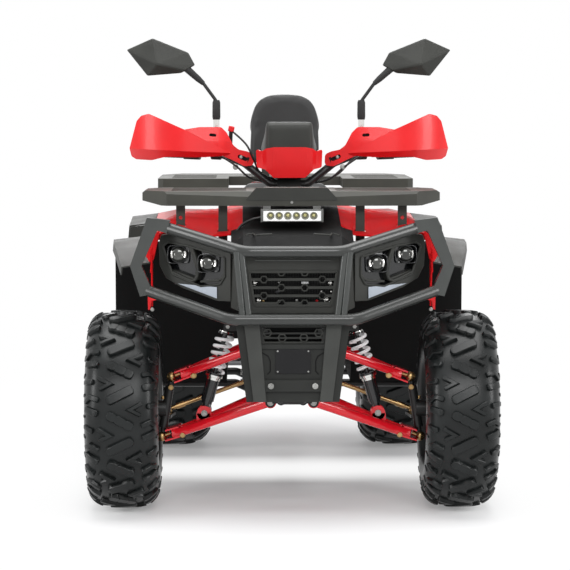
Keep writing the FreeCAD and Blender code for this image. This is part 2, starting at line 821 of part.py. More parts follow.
def engine():
    """Crankcase, side covers, finned cylinder, head, intake and airbox in one casting stand-in."""
    half = case_half_width
    outline = [
        (-190, engine_foot_z),
        (150, engine_foot_z),
        (185, 300),
        (185, 350),
        (120, 405),
        (-60, 418),
        (-150, 380),
        (-205, 300),
    ]
    case = prism_x(outline, -half, half).cut(block(50, half + 1, 95, 190, 200, 420))
    parts = [case]
    parts.append(rod(V(-half, -60, 348), V(-half - 40, -60, 348), 76))
    parts.append(rod(V(half, -70, 348), V(half + 34, -70, 348), 74))
    parts.append(rod(V(50, 150, 300), V(80, 150, 300), 10))
    parts.append(rod(V(chain_x - 3, 150, 300), V(chain_x + 3, 150, 300), front_sprocket_radius))
    parts.append(block(-52, 52, -160, -50, 400, 560))
    for i in range(fin_count):
        z = 428 + i * fin_pitch
        parts.append(block(-64, 64, -172, -38, z, z + fin_thickness))
    parts.append(block(-60, 60, -168, -42, 545, 605))
    parts.append(block(-46, 46, -150, -60, 605, 636))
    parts.append(rod(V(0, -50, 580), V(0, 70, 580), 24))
    parts.append(block(-62, 62, 66, 226, 500, 636))
    for y in (-112.0, 50.0):
        parts.append(block(-lower_rail_x - 6, lower_rail_x + 6, y, y + 26, engine_foot_z, engine_foot_z + 10))
    return fused(parts).translated(V(0, engine_y, 0))


case_half_width = 92.0
fin_count = 6
fin_pitch = 20.0
fin_thickness = 6.0


def exhaust():
    """Header from the front of the head, round the right side, into the muffler."""
    header = bent_tube(
        [
            V(0, -168 - seat_gap, 566),
            V(0, -202, 566),
            V(exhaust_x, -202, 500),
            V(exhaust_x, -120, exhaust_z),
            V(exhaust_x, 300, exhaust_z),
            V(muffler_x, 352, muffler_z - 10),
        ],
        15,
        26,
    )
    start, end = V(muffler_x, 345, muffler_z), V(muffler_x, 700, muffler_z)
    body = rod(start, end, muffler_radius)
    tip = ring(end - V(0, 2, 0), end + V(0, 40, 0), 16, 13)
    hang_y = 520.0
    rail_z = rail_height(engine_y + hang_y)
    rail_side = -(upper_rail_x + upper_rail_radius + seat_gap)
    hanger_x = rail_side - 15.7
    hanger = block(hanger_x, hanger_x + 5, hang_y - 16, hang_y + 16, muffler_z + 20, rail_z + 8)
    tab = block(hanger_x, rail_side, hang_y - 16, hang_y + 16, rail_z - 8, rail_z + 8)
    return fused([header, body, tip, hanger, tab]).translated(V(0, engine_y, 0))


# Bumper bars
bar_end_y = nose_y + 148.0
corner_top = V(325, bar_end_y, 762)
corner_low = V(382, bar_end_y, 600)


def bumper_bar(half_straight, z, end):
    return bent_tube(
        [
            V(-end.x, end.y, end.z),
            V(-half_straight, bumper_y, z),
            V(half_straight, bumper_y, z),
            end,
        ],
        bar_tube_radius,
        70,
    )


def bumper_posts(bars):
    """Twin tubes on each side, from the top bar to the low bar, coped to both."""
    posts = []
    for offset in (-8.0, 8.0):
        posts.append(rod(V(139 + offset * 0.8, bumper_y, top_bar_z), V(121 + offset, bumper_y, low_bar_z), 8.5))
    post = fused(posts)
    for bar in bars:
        post = post.cut(bar)
    middle = [s for s in post.Solids if s.BoundBox.ZLength > 60]
    return pair(middle[0])


def side_plate(bars):
    """The folded plate loop at each end, between the two bars' ends."""
    outer = [(318, 782), (378, 790), (423, 664), (397, 584), (370, 590)]
    inner = [(322, 748), (352, 756), (393, 664), (368, 606), (330, 640)]
    front, back = bar_end_y - 17, bar_end_y + 21
    plate = prism_y(outer, front, back).cut(prism_y(inner, front - 1, back + 1))
    for bar in bars:
        plate = plate.cut(bar)
    return max(plate.Solids, key=lambda s: s.Volume)


# Nose: guard, cover, grille, bezels and lamps
leg_face_y = nose_y + 30.0
guard_front_y = nose_y + 42.0
guard_back_y = nose_y + 48.0
guard_top_z = 519.0
guard_foot_z = 318.0


def nose_guard():
    """Lower guard: plate with a grille window, two raised legs, cross bars and side flanges."""
    outline = [(-147, guard_top_z), (147, guard_top_z), (120, guard_foot_z), (-120, guard_foot_z)]
    window = [(-80, 511), (80, 511), (72, 470), (-72, 470)]
    plate = prism_y(outline, guard_front_y, guard_back_y).cut(prism_y(window, guard_front_y - 1, guard_back_y + 1))
    parts = [plate]
    leg = [(90, 546), (129, 546), (126, guard_top_z), (102, 320), (69, 320), (86, guard_top_z)]
    flange = [(147, guard_top_z), (143, guard_top_z), (116, guard_foot_z), (120, guard_foot_z)]
    for shape in (prism_y(leg, leg_face_y, guard_front_y), prism_y(flange, guard_back_y, guard_back_y + 55)):
        parts += [shape, mirrored(shape)]
    parts.append(block(-82, 82, guard_front_y - 6, guard_front_y, 456, 468))
    parts.append(block(-76, 76, guard_front_y - 10, guard_front_y, 346, 376))
    parts.append(block(-46, 46, guard_front_y - 3, guard_front_y, 392, 456))
    for z in (484, 496):
        parts.append(block(-80, 80, guard_front_y, guard_back_y, z - 2.5, z + 2.5))
    for x in (-57.0, 57.0):
        parts.append(rod(V(x, guard_front_y - 15, 361), V(x, guard_front_y - 8, 361), 8))
    return fused(parts)


cowl_inner_x = 130.0
cover_half = 128.0
cover_edge = 160.0


def nose_cover():
    """Black nose: a front face with the grille window, turned back over the top."""
    middle = [(guard_front_y, 548), (guard_back_y, 700), (nose_y + 110, 742), (nose_y + 210, 762)]
    edge = [(nose_y + 74, 560), (nose_y + 80, 686), (nose_y + 120, 720), (nose_y + 210, 752)]
    stations = [(-cover_edge, edge), (-cover_half, middle), (cover_half, middle), (cover_edge, edge)]
    skin_solid = skin_along_x(stations, -panel_wall)
    window = prism_y(grille_outline(0), nose_y + 10, nose_y + 70)
    duct = prism_x([(nose_y + 106, 540), (nose_y + 110, 540), (nose_y + 112, 742), (nose_y + 108, 738)], -120, 120)
    nose = fused([skin_solid.cut(window), duct])
    hood_line = [
        (nose_y + 210 + seat_gap, 762),
        (front_axle_y + 30, 785),
        (front_axle_y + 150, 802),
        (front_axle_y + 290, 806),
    ]
    hood = prism_x(strip(hood_line, -panel_wall), seat_gap - cowl_inner_x, cowl_inner_x - seat_gap)
    notch = block(-48, 48, front_axle_y + 185, front_axle_y + 390, 700, 900)
    return Part.makeCompound([nose, hood.cut(notch)])


def grille_outline(inset):
    return [(-113 + inset, 655 - inset), (113 - inset, 655 - inset), (99 - inset, 567 + inset), (-99 + inset, 567 + inset)]


def grille():
    """Slatted insert with hexagon cut-outs that step from row to row."""
    y0, y1 = guard_front_y - 1, guard_front_y + 9
    plate = prism_y(grille_outline(0.3), y0, y1)
    holes = []
    row_height = 80.0 / grille_rows
    for row in range(grille_rows):
        z = 571 + row_height * (row + 0.5)
        half = 97 + (z - 567) * 0.159 - 6
        gap = row_height / 2 - 2.2
        columns = (-0.33, 0.33) if row % 2 == 0 else (-0.72, 0.0, 0.72)
        edges = [-half]
        for share in columns:
            x = half * share
            hexagon = [
                (x + hex_radius * math.cos(rad(60 * k)), z + (row_height / 2 - 1) * math.sin(rad(60 * k)) * 1.15) for k in range(6)
            ]
            holes.append(prism_y(hexagon, y0 - 1, y1 + 1))
            edges += [x - hex_radius - 2.5, x + hex_radius + 2.5]
        edges.append(half)
        for left, right in zip(edges[::2], edges[1::2]):
            if right - left > 6:
                holes.append(block(left, right, y0 - 1, y1 + 1, z - gap, z + gap))
    return plate.cut(Part.makeCompound(holes))


grille_rows = 5
hex_radius = 9.0
bezel_sweep = 30.0
bezel_corner = V(cover_edge + seat_gap, nose_y + 72, 0)


def swept_slab(front, back):
    """The space between two upright planes swept back from the nose's corner."""
    slab = Part.makeBox(400, back - front, 400, V(-60, front, 500))
    slab.rotate(V(0, 0, 0), V(0, 0, 1), bezel_sweep)
    slab.translate(bezel_corner)
    return slab


bezel_outline = [
    (bezel_corner.x, 706),
    (318, 746),
    (343, 742),
    (350, 719),
    (347, 663),
    (330, 630),
    (290, 607),
    (196, 576),
    (bezel_corner.x, 576),
]
lamp_outline = [(176, 640), (188, 619), (238, 612), (312, 640), (338, 714), (324, 724), (272, 716), (176, 690)]
lamp_eyes = [(218.0, 666.0), (296.0, 686.0)]
bezel_depth = 46.0
lamp_recess = 20.0


def bezel():
    front = prism_y(bezel_outline, nose_y, nose_y + 310).common(swept_slab(0, bezel_depth))
    return front.cut(prism_y(lamp_outline, nose_y - 1, nose_y + 311))


def headlamp():
    """Dark housing with two round projector lenses, set back in the bezel."""
    outline = offset_line(lamp_outline + lamp_outline[:2], seat_gap)[1:-1]
    housing = prism_y(outline, nose_y, nose_y + 310).common(swept_slab(lamp_recess, bezel_depth))
    slope = math.tan(rad(bezel_sweep))
    parts = [housing]
    for x, z in lamp_eyes:
        face_y = bezel_corner.y + (x - bezel_corner.x) * slope + lamp_recess
        parts.append(rod(V(x, face_y - 14, z), V(x, face_y + 30, z), 23))
        dome = Part.makeSphere(30, V(x, face_y + 9, z)).common(rod(V(x, face_y - 24, z), V(x, face_y, z), 22))
        parts.append(dome)
    return fused(parts)


def running_light():
    outline = [(300, 617), (196, 612), (196, 582)]
    return prism_y(outline, nose_y, nose_y + 310).common(swept_slab(-3, 0))


# Bodywork
cowl_stations = [
    (nose_y + 220, [(130, 768), (165, 742), (215, 738), (300, 762), (348, 745), (372, 700), (374, 640)]),
    (front_axle_y + 30, [(130, 785), (165, 774), (215, 778), (300, 784), (350, 764), (374, 718), (376, 690)]),
    (front_axle_y + 150, [(130, 802), (165, 797), (215, 798), (300, 790), (350, 765), (374, 730), (377, 712)]),
    (front_axle_y + 290, [(130, 806), (165, 800), (215, 790), (270, 770), (310, 748), (330, 725), (334, 708)]),
]
rack_leg_y = front_axle_y - 50.0
rack_leg_x = (182.0, 294.0)
rack_leg_wall = 6.0
rack_leg_half = 12.0


def front_cowl():
    """Red bodywork between the lamps and the tank, open underneath, with slots for the rack's legs."""
    shell = skin_along_y(cowl_stations, -panel_wall)
    shell = shell.cut(block(0, cowl_inner_x, nose_y, 0, 600, 900))
    tip_y = nose_y + 220
    tail_outline = [(tip_y - 10, 690), (tip_y + 50, 690), (tip_y + 50, 560), (tip_y + 34, 548), (tip_y + 18, 600)]
    tail = prism_x(tail_outline, 368, 372)
    shell = fused([shell, tail.cut(shell)])
    slots = []
    for x in rack_leg_x:
        half = rack_leg_half + 3
        slots.append(block(x - half, x + half, rack_leg_y - 22, rack_leg_y - 6, 600, 820))
    return shell.cut(Part.makeCompound(slots))


def front_flares(cowl):
    """Black fender edges outside the red cowl, with a turned-down lip."""
    stations = []
    for y, inner, outer in (
        (nose_y + 220, (373.4, 668), (450, 656)),
        (front_axle_y + 30, (375.2, 706), (470, 692)),
        (front_axle_y + 150, (375.3, 724), (484, 705)),
        (front_axle_y + 290, (330.6, 724), (491, 706)),
        (splash_wall_y - seat_gap - 0.2, (330.6, 716), (493, 700)),
    ):
        stations.append((y, [inner, outer, (outer[0] + 2, outer[1] - 22)]))
    flare = skin_along_y(stations, -panel_wall).cut(cowl.Solids[0])
    return pair(max(flare.Solids, key=lambda s: s.Volume))


splash_wall_y = front_axle_y + tyre_radius + 83.5
footwell_floor_z = 296.0
footwell_x = (176.0, 490.0)
inner_wall_x = 117.0
inner_wall_z = 420.0
footwell_y = (splash_wall_y + 18.0, rear_axle_y - tyre_radius - 47.5)


def footwell():
    """Front splash wall, floor with foot peg, rear wall and the outer kerb."""
    front, back = footwell_y
    line = [
        (splash_wall_y, 694),
        (front, footwell_floor_z),
        (back, footwell_floor_z),
        (back + 28, 400),
        (back + 34, 664),
    ]
    tray = prism_x(strip(line, 5), *footwell_x)
    kerb = block(footwell_x[1] - 5, footwell_x[1], front + 6, back - 2, footwell_floor_z, footwell_floor_z + 24)
    lean = (front - splash_wall_y) / (694 - footwell_floor_z)
    low_y = splash_wall_y + (694 - inner_wall_z) * lean
    inner = [(splash_wall_y, 694), (low_y, inner_wall_z), (low_y + 5, inner_wall_z), (splash_wall_y + 5, 694)]
    parts = [tray, kerb, prism_x(inner, inner_wall_x, footwell_x[0] + 1)]
    for i in range(peg_ribs):
        y = front + 152 + i * 22
        parts.append(block(300, 450, y, y + 8, footwell_floor_z, footwell_floor_z + 16))
    return fused(parts)


peg_ribs = 4


def tank_cover():
    def section(half, shoulder, top, y):
        foot = upper_rail_z + upper_rail_radius + seat_gap
        return (y, [(-half, foot), (half, foot), (half, shoulder), (half * 0.6, top), (-half * 0.6, top), (-half, shoulder)])

    y = bar_clamp.y
    body = solid_along_y(
        [section(110, 770, 812, y + 25), section(128, 790, 838, y + 120), section(120, 770, 800, y + 248)]
    )
    cap = rod(V(0, y + 130, 820), V(0, y + 130, 850), 32)
    return body.fuse(cap)


def side_cover():
    front, back = bar_clamp.y + 8, rear_post_y - 24
    outline = [(front, 668), (back, 668), (back - 40, 560), (back - 216, 500), (front + 142, 520), (front, 600)]
    x0 = upper_rail_x + upper_rail_radius + seat_gap
    return prism_x(outline, x0, x0 + panel_wall)


seat_half_width = 150.0
seat_stations = [
    (bar_clamp.y + 248 + seat_gap, 80, 677, 800),
    (bar_clamp.y + 360, 132, 677, 792),
    (rear_axle_y - 330, 148, 677, 796),
    (rear_axle_y - 280, seat_half_width, 683, 806),
    (rear_axle_y - 260, seat_half_width, 686, 834),
    (rear_axle_y - 90, 140, 708, 838),
    (rear_axle_y - 65, 125, 712, 822),
]


def seat():
    """Two-step saddle, plain and closed."""
    stations = []
    for y, half, low, high in seat_stations:
        side = high - 26
        points = [(-half + 12, low), (half - 12, low), (half, side), (half - 34, high), (34 - half, high), (-half, side)]
        stations.append((y, points))
    return solid_along_y(stations)


rear_cowl_stations = [
    (rear_axle_y - 276, [(156, 700), (170, 735), (330, 738), (399, 722)]),
    (rear_axle_y - 10, [(156, 715), (170, 748), (330, 752), (399, 738)]),
    (tail_y - 50, [(156, 720), (175, 735), (320, 740), (392, 728)]),
]


def rear_cowl():
    return pair(skin_along_y(rear_cowl_stations, -panel_wall))


def rear_flares():
    stations = [
        (rear_axle_y - 276, [(399.5, 722), (478, 712), (482, 669)]),
        (rear_axle_y - 10, [(399.5, 738), (480, 728), (484, 692)]),
        (tail_y - 45, [(392.5, 728), (470, 716), (474, 690)]),
    ]
    shell = skin_along_y(stations, -panel_wall)
    front = rear_axle_y - 276
    face = prism_y([(400.5, 717), (474, 708), (478, 669), (404, 669)], front, front + 4)
    return pair(fused([shell, face.cut(shell)]))


def fender_stays(cowl):
    """Flat brackets from the upper rails up to the rear cowl's underside."""
    stays = []
    for y in (rear_axle_y - 180, rear_axle_y + 80):
        z = rail_height(y)
        outline = [
            (upper_rail_x, z - 10),
            (upper_rail_x, z + 8),
            (seat_half_width + 6, z + 8),
            (200, 770),
            (300, 770),
            (300, 720),
            (180, z - 4),
        ]
        stay = prism_y(outline, y - 12, y + 12).cut(cowl)
        stays.append(lowest_solid(stay))
        stays.append(mirrored(stays[-1]))
    return stays


def tail_panel():
    """Black panel that closes the body under the rear rack."""
    y0 = upper_rail_end_y + seat_gap
    plate = prism_y([(-155, 766), (155, 766), (120, 650), (-120, 650)], y0, y0 + 5)
    return plate


def tail_lights():
    y0 = upper_rail_end_y + seat_gap + 5
    lens = prism_y([(66, 752), (146, 752), (134, 708), (66, 708)], y0, y0 + 14)
    return pair(lens)


# Racks
def rack_tray(outline, slots):
    """A moulded deck: open underneath inside its rim, with slots through the top."""
    deck = prism_z(outline, rack_top_z - rack_depth, rack_top_z)
    inner = offset_line(outline + outline[:2], 26)[1:-1]
    deck = deck.cut(prism_z(inner, rack_top_z - rack_depth - 1, rack_top_z - 9))
    cuts = [prism_z(s, rack_top_z - rack_depth - 2, rack_top_z + 1) for s in slots]
    return deck.cut(Part.makeCompound(cuts))


def slot_row(x0, x1, y0, y1, count):
    pitch = (y1 - y0) / count
    gaps = []
    for i in range(count):
        a = y0 + i * pitch + pitch * 0.22
        b = y0 + (i + 1) * pitch - pitch * 0.22
        gaps.append([(x0, a), (x1, a), (x1, b), (x0, b)])
    return gaps


def front_rack():
    y0, y1 = front_rack_y
    outline = [
        (-330, y0 + 8),
        (-90, y0),
        (90, y0),
        (330, y0 + 8),
        (397, y0 + 90),
        (397, y1 - 80),
        (350, y1),
        (-350, y1),
        (-397, y1 - 80),
        (-397, y0 + 90),
    ]
    slots = slot_row(120, 320, y0 + 50, y1 + 40, 4)
    slots += [[(-x, y) for x, y in reversed(s)] for s in slots]
    under = rack_top_z - rack_depth
    front_view = [(345, under), (397, under + 11), (397, rack_top_z - 6), (388, rack_top_z)]
    front_view += [(-x, z) for x, z in reversed(front_view)]
    deck = rack_tray(outline, slots).common(prism_y(front_view, y0 - 1, y1 + 1))
    chamfer = prism_x([(y0 - 1, rack_top_z - 16), (y0 + 16, rack_top_z + 1), (y0 - 1, rack_top_z + 1)], -400, 400)
    deck = deck.cut(chamfer)
    brow_outline = [(-98, rack_top_z - 12), (98, rack_top_z - 12), (73, rack_top_z + 10), (-73, rack_top_z + 10)]
    brow = prism_y(brow_outline, y0 + 4, y0 + 60)
    parts = [deck, brow]
    tube_y0 = rack_leg_y - 10 - seat_gap
    for x in rack_leg_x:
        for side in (-1, 1):
            middle = side * x
            leg_foot = rail_height(rack_leg_y) - 8
            x0, x1 = middle - rack_leg_half, middle + rack_leg_half
            leg = block(x0, x1, tube_y0 - rack_leg_wall, tube_y0, leg_foot, rack_top_z - 4)
            if x == rack_leg_x[1]:
                for z in (700, 742, 784):
                    leg = leg.cut(rod(V(middle, tube_y0 - 20, z), V(middle, tube_y0 + 2, z), 5))
            parts.append(leg)
    return fused(parts)


def rear_rack(frame):
    y0, y1 = rear_rack_y
    outline = [
        (391, y0 + 10),
        (391, y1 - 120),
        (330, y1),
        (-330, y1),
        (-391, y1 - 120),
        (-391, y0 + 10),
        (-375, y0),
        (-175, y0),
        (-175, y0 + 216),
        (175, y0 + 216),
        (175, y0),
        (375, y0),
    ]
    slots = slot_row(214, 350, y0 + 50, y1 - 140, 5)
    slots += [[(-x, y) for x, y in reversed(s)] for s in slots]
    slots += slot_row(-130, 130, y0 + 260, y1 - 40, 4)
    deck = prism_z(outline, rack_top_z - rack_depth + 10, rack_top_z)
    cuts = [prism_z(s, rack_top_z - rack_depth, rack_top_z + 1) for s in slots]
    parts = [deck.cut(Part.makeCompound(cuts))]
    for y in (rear_axle_y + 10, rear_axle_y + 160):
        for side in (-1, 1):
            foot = V(side * upper_rail_x, y, rail_height(y))
            parts.append(rod(foot, V(side * upper_rail_x, y, rack_top_z - rack_depth + 12), 10))
    return fused(parts).cut(frame)


def light_bar():
    """Lamp body with end cheeks, hung by two straps from the front rack's rim."""
    y0 = front_rack_y[0] - 38
    body = block(-78, 78, y0, y0 + 34, 777, 809)
    parts = [body]
    for side in (-1, 1):
        x0, x1 = sorted((side * 78, side * 82))
        parts.append(block(x0, x1, y0 - 2, y0 + 34, 776, 810))
        x0, x1 = sorted((side * 56, side * 76))
        parts.append(block(x0, x1, y0 + 34, y0 + 37, 780, rack_top_z - rack_depth - seat_gap))
        parts.append(block(x0, x1, y0 + 34, y0 + 50, rack_top_z - rack_depth - 4, rack_top_z - rack_depth - seat_gap))
    for i in range(5):
        z = 781 + i * 6
        parts.append(block(-54, 54, y0 + 34, y0 + 42, z, z + 2))
    return fused(parts)


backrest_y = rear_axle_y - 90.0
backrest_depth = 52.0


def backrest():
    """Upright pad with a rounded head."""
    side = [(109, 900), (108, 960), (106, 1005), (98, 1062), (84, 1091), (52, 1109), (0, 1112)]
    outline = side + [(-x, z) for x, z in side[-2::-1]]
    return prism_y(outline, backrest_y, backrest_y + backrest_depth)


def backrest_stays():
    """Two flat bars from the rear rack up the back of the pad."""
    y0 = backrest_y + backrest_depth + seat_gap
    bar = block(48, 72, y0, y0 + 5, rack_top_z, 1040)
    foot = block(48, 72, y0, y0 + 60, rack_top_z, rack_top_z + 5)
    bar = bar.fuse(foot)
    tie = block(-72, 72, y0, y0 + 5, 940, 960)
    return fused([bar, mirrored(bar), tie])


# Handlebar and what rides on it
bar_path = [
    bar_clamp + V(52, 0, 0),
    bar_clamp + V(125, 8, 58),
    bar_clamp + V(195, 30, 85),
    bar_clamp + V(405, 85, 92),
]


def handlebar():
    half = [V(-p.x, p.y, p.z) for p in reversed(bar_path)]
    return bent_tube(half + bar_path, bar_radius, 30)


def grip_line():
    return (bar_path[3] - bar_path[2]).normalize()


def steering_column(bar):
    """Raked column with the pitman plate at its foot and the bar clamp at its head."""
    shaft = rod(column_foot + rake * 6, bar_clamp - rake * 10, column_radius)
    boss = rod(V(0, 0, 0), V(0, 0, pitman_wall), 20)
    plate = [(-15, 6), (15, 6), (27, pitman_reach + 11), (-27, pitman_reach + 11)]
    pitman = boss.fuse(prism_z(plate, 0, pitman_wall))
    pitman.rotate(V(0, 0, 0), V(1, 0, 0), -column_rake)
    pitman.translate(column_foot + rake * 6)
    pin = rod(pitman_pin - rod_axis * 9, pitman_pin + rod_axis * 10, pivot_bolt_radius - 1)
    pins = [pin, mirrored(pin)]
    head = Part.makeBox(66, 40, 44, V(-33, -20, -30))
    head.rotate(V(0, 0, 0), V(1, 0, 0), -column_rake)
    head.translate(bar_clamp)
    body = fused([shaft, pitman, head] + pins)
    return body.cut(bar)


def grips():
    line = grip_line()
    end = bar_path[3]
    grip = rod(end - line * 112, end + line * 6, 16).cut(rod(end - line * 120, end, bar_radius))
    return pair(grip)


def mirror_foot():
    """The bar's centre under the mirror's stem."""
    line = grip_line()
    return bar_path[3] - line * ((bar_path[3].x - mirror_stem_x) / line.x)


def mirror_clamp():
    line = grip_line()
    middle = mirror_foot()
    ring_part = rod(middle - line * 13, middle + line * 13, 18)
    return ring_part.fuse(rod(middle, middle + V(0, 0, mirror_clamp_height), 9))


def bar_controls(bar):
    """Switch block, master cylinder, lever perch and lever on each side, and the mirror's clamp."""
    line = grip_line()
    end = bar_path[3]
    near, far = end - line * 160, end - line * 114
    switch = rod(near, far, 20)
    perch = block(near.x - 18, near.x + 22, near.y - 46, near.y - 6, near.z - 12, near.z + 14)
    lever = bent_tube([near + V(0, -40, 0), near + V(60, -66, 0), near + V(165, -28, 0)], 5, 30)
    body = fused([switch, perch, lever, mirror_clamp()])
    return pair(body.cut(bar))


mirror_stem_rise = 98.7
mirror_outline = [(-96, -9), (-81, 24), (18, 64), (96, 29), (38, -44), (-70, -38)]


def mirror():
    """Stem with two bends, neck and faceted head."""
    foot = mirror_foot() + V(0, 0, mirror_clamp_height + seat_gap)
    rise = V(0, 0, mirror_stem_rise)
    bend = foot + rise
    stem = bent_tube([foot, bend, bend + V(49, 0, 54), bend + V(71, 0, 80)], 5.5, 18)
    collar = rod(bend - V(0, 0, 68), bend - V(0, 0, 34), 10)
    neck = Part.makeCone(13, 8, 64, bend + V(92, 0, 106), V(-46, 0, -52))
    middle = bend + V(156, 0, 119)
    wires = []
    for inset, back in ((0.94, 28), (1.0, 12), (0.84, -8), (0.42, -22)):
        points = [middle + V(x * inset, back, z * inset) for x, z in mirror_outline]
        wires.append(Part.makePolygon(points + points[:1]))
    head = Part.makeLoft(wires, True, True)
    return fused([stem, collar, neck, head])


guard_stations = [
    (95, -22, 40, 66, 96),
    (140, -38, 46, 78, 120),
    (190, -58, 62, 96, 172),
    (290, -66, 62, 97, 172),
    (345, -54, 62, 97, 190),
    (393, -32, 58, 96, 206),
    (425, -8, 58, 97, 200),
    (452, 26, 70, 100, 160),
]
guard_outline = [
    (99, 52),
    (123, 52),
    (158, 68),
    (190, 84),
    (231, 78),
    (347, 80),
    (384, 68),
    (432, 70),
    (441, 78),
    (447, 97),
    (426, 176),
    (418, 189),
    (409, 196),
    (392, 196),
    (289, 152),
    (248, 160),
    (188, 160),
    (175, 145),
    (157, 109),
    (140, 96),
    (99, 84),
]
guard_slots = [(121, 68, 12, 5, 22), (213, 144, 13, 3.5, 22)]


def handguard(bar):
    """Bowed shield with an arm that reaches in to a stub on the bar, and two slots."""
    stations = []
    for x, y, low, crease, high in guard_stations:
        stations.append((x, [(y + 16, low), (y, crease), (y + 1, (crease + high) / 2), (y + 14, high)]))
    shell = skin_along_x(stations, -panel_wall).common(prism_y(guard_outline, -200, 100))
    for x, z, half, radius, tilt in guard_slots:
        end = half + radius
        slot_outline = [(-half, -radius), (half, -radius), (end, 0), (half, radius), (-half, radius), (-end, 0)]
        slot = prism_y(slot_outline, -90, 60)
        slot.rotate(V(0, 0, 0), V(0, 1, 0), -tilt)
        shell = shell.cut(slot.translated(V(x, 0, z)))
    x, z = guard_slots[0][:2]
    boss = rod(V(x, -25, z), V(x, 8, z - 12), 9.5)
    shell = fused([shell, boss]).translated(bar_clamp)
    return shell.cut(bar)


cowl_face = [
    (-93, -22, 43, 98),
    (-74, -40, 43, 90),
    (-66, -55, 43, 98),
    (-44, -61, 19, 103),
    (44, -61, 19, 103),
    (66, -55, 43, 98),
    (74, -40, 43, 90),
    (93, -22, 43, 98),
]


def bar_cowl():
    stations = [(x, [(y + 2, low), (y - 2, low + 14), (y + 3, high)]) for x, y, low, high in cowl_face]
    return skin_along_x(stations, -panel_wall).translated(bar_clamp)


def instrument_pod(column, bar, cowl):
    """Black pod behind the red cowl, seated on the clamp."""
    body = solid_along_y(
        [
            (-50, [(-40, 20), (40, 20), (62, 98), (62, 168), (-62, 168), (-62, 98)]),
            (-30, [(-50, 16), (50, 16), (70, 98), (66, 175), (-66, 175), (-70, 98)]),
            (48, [(-50, 24), (50, 24), (82, 98), (60, 164), (-60, 164), (-82, 98)]),
        ]
    ).translated(bar_clamp)
    return body.cut(column).cut(bar).cut(cowl)


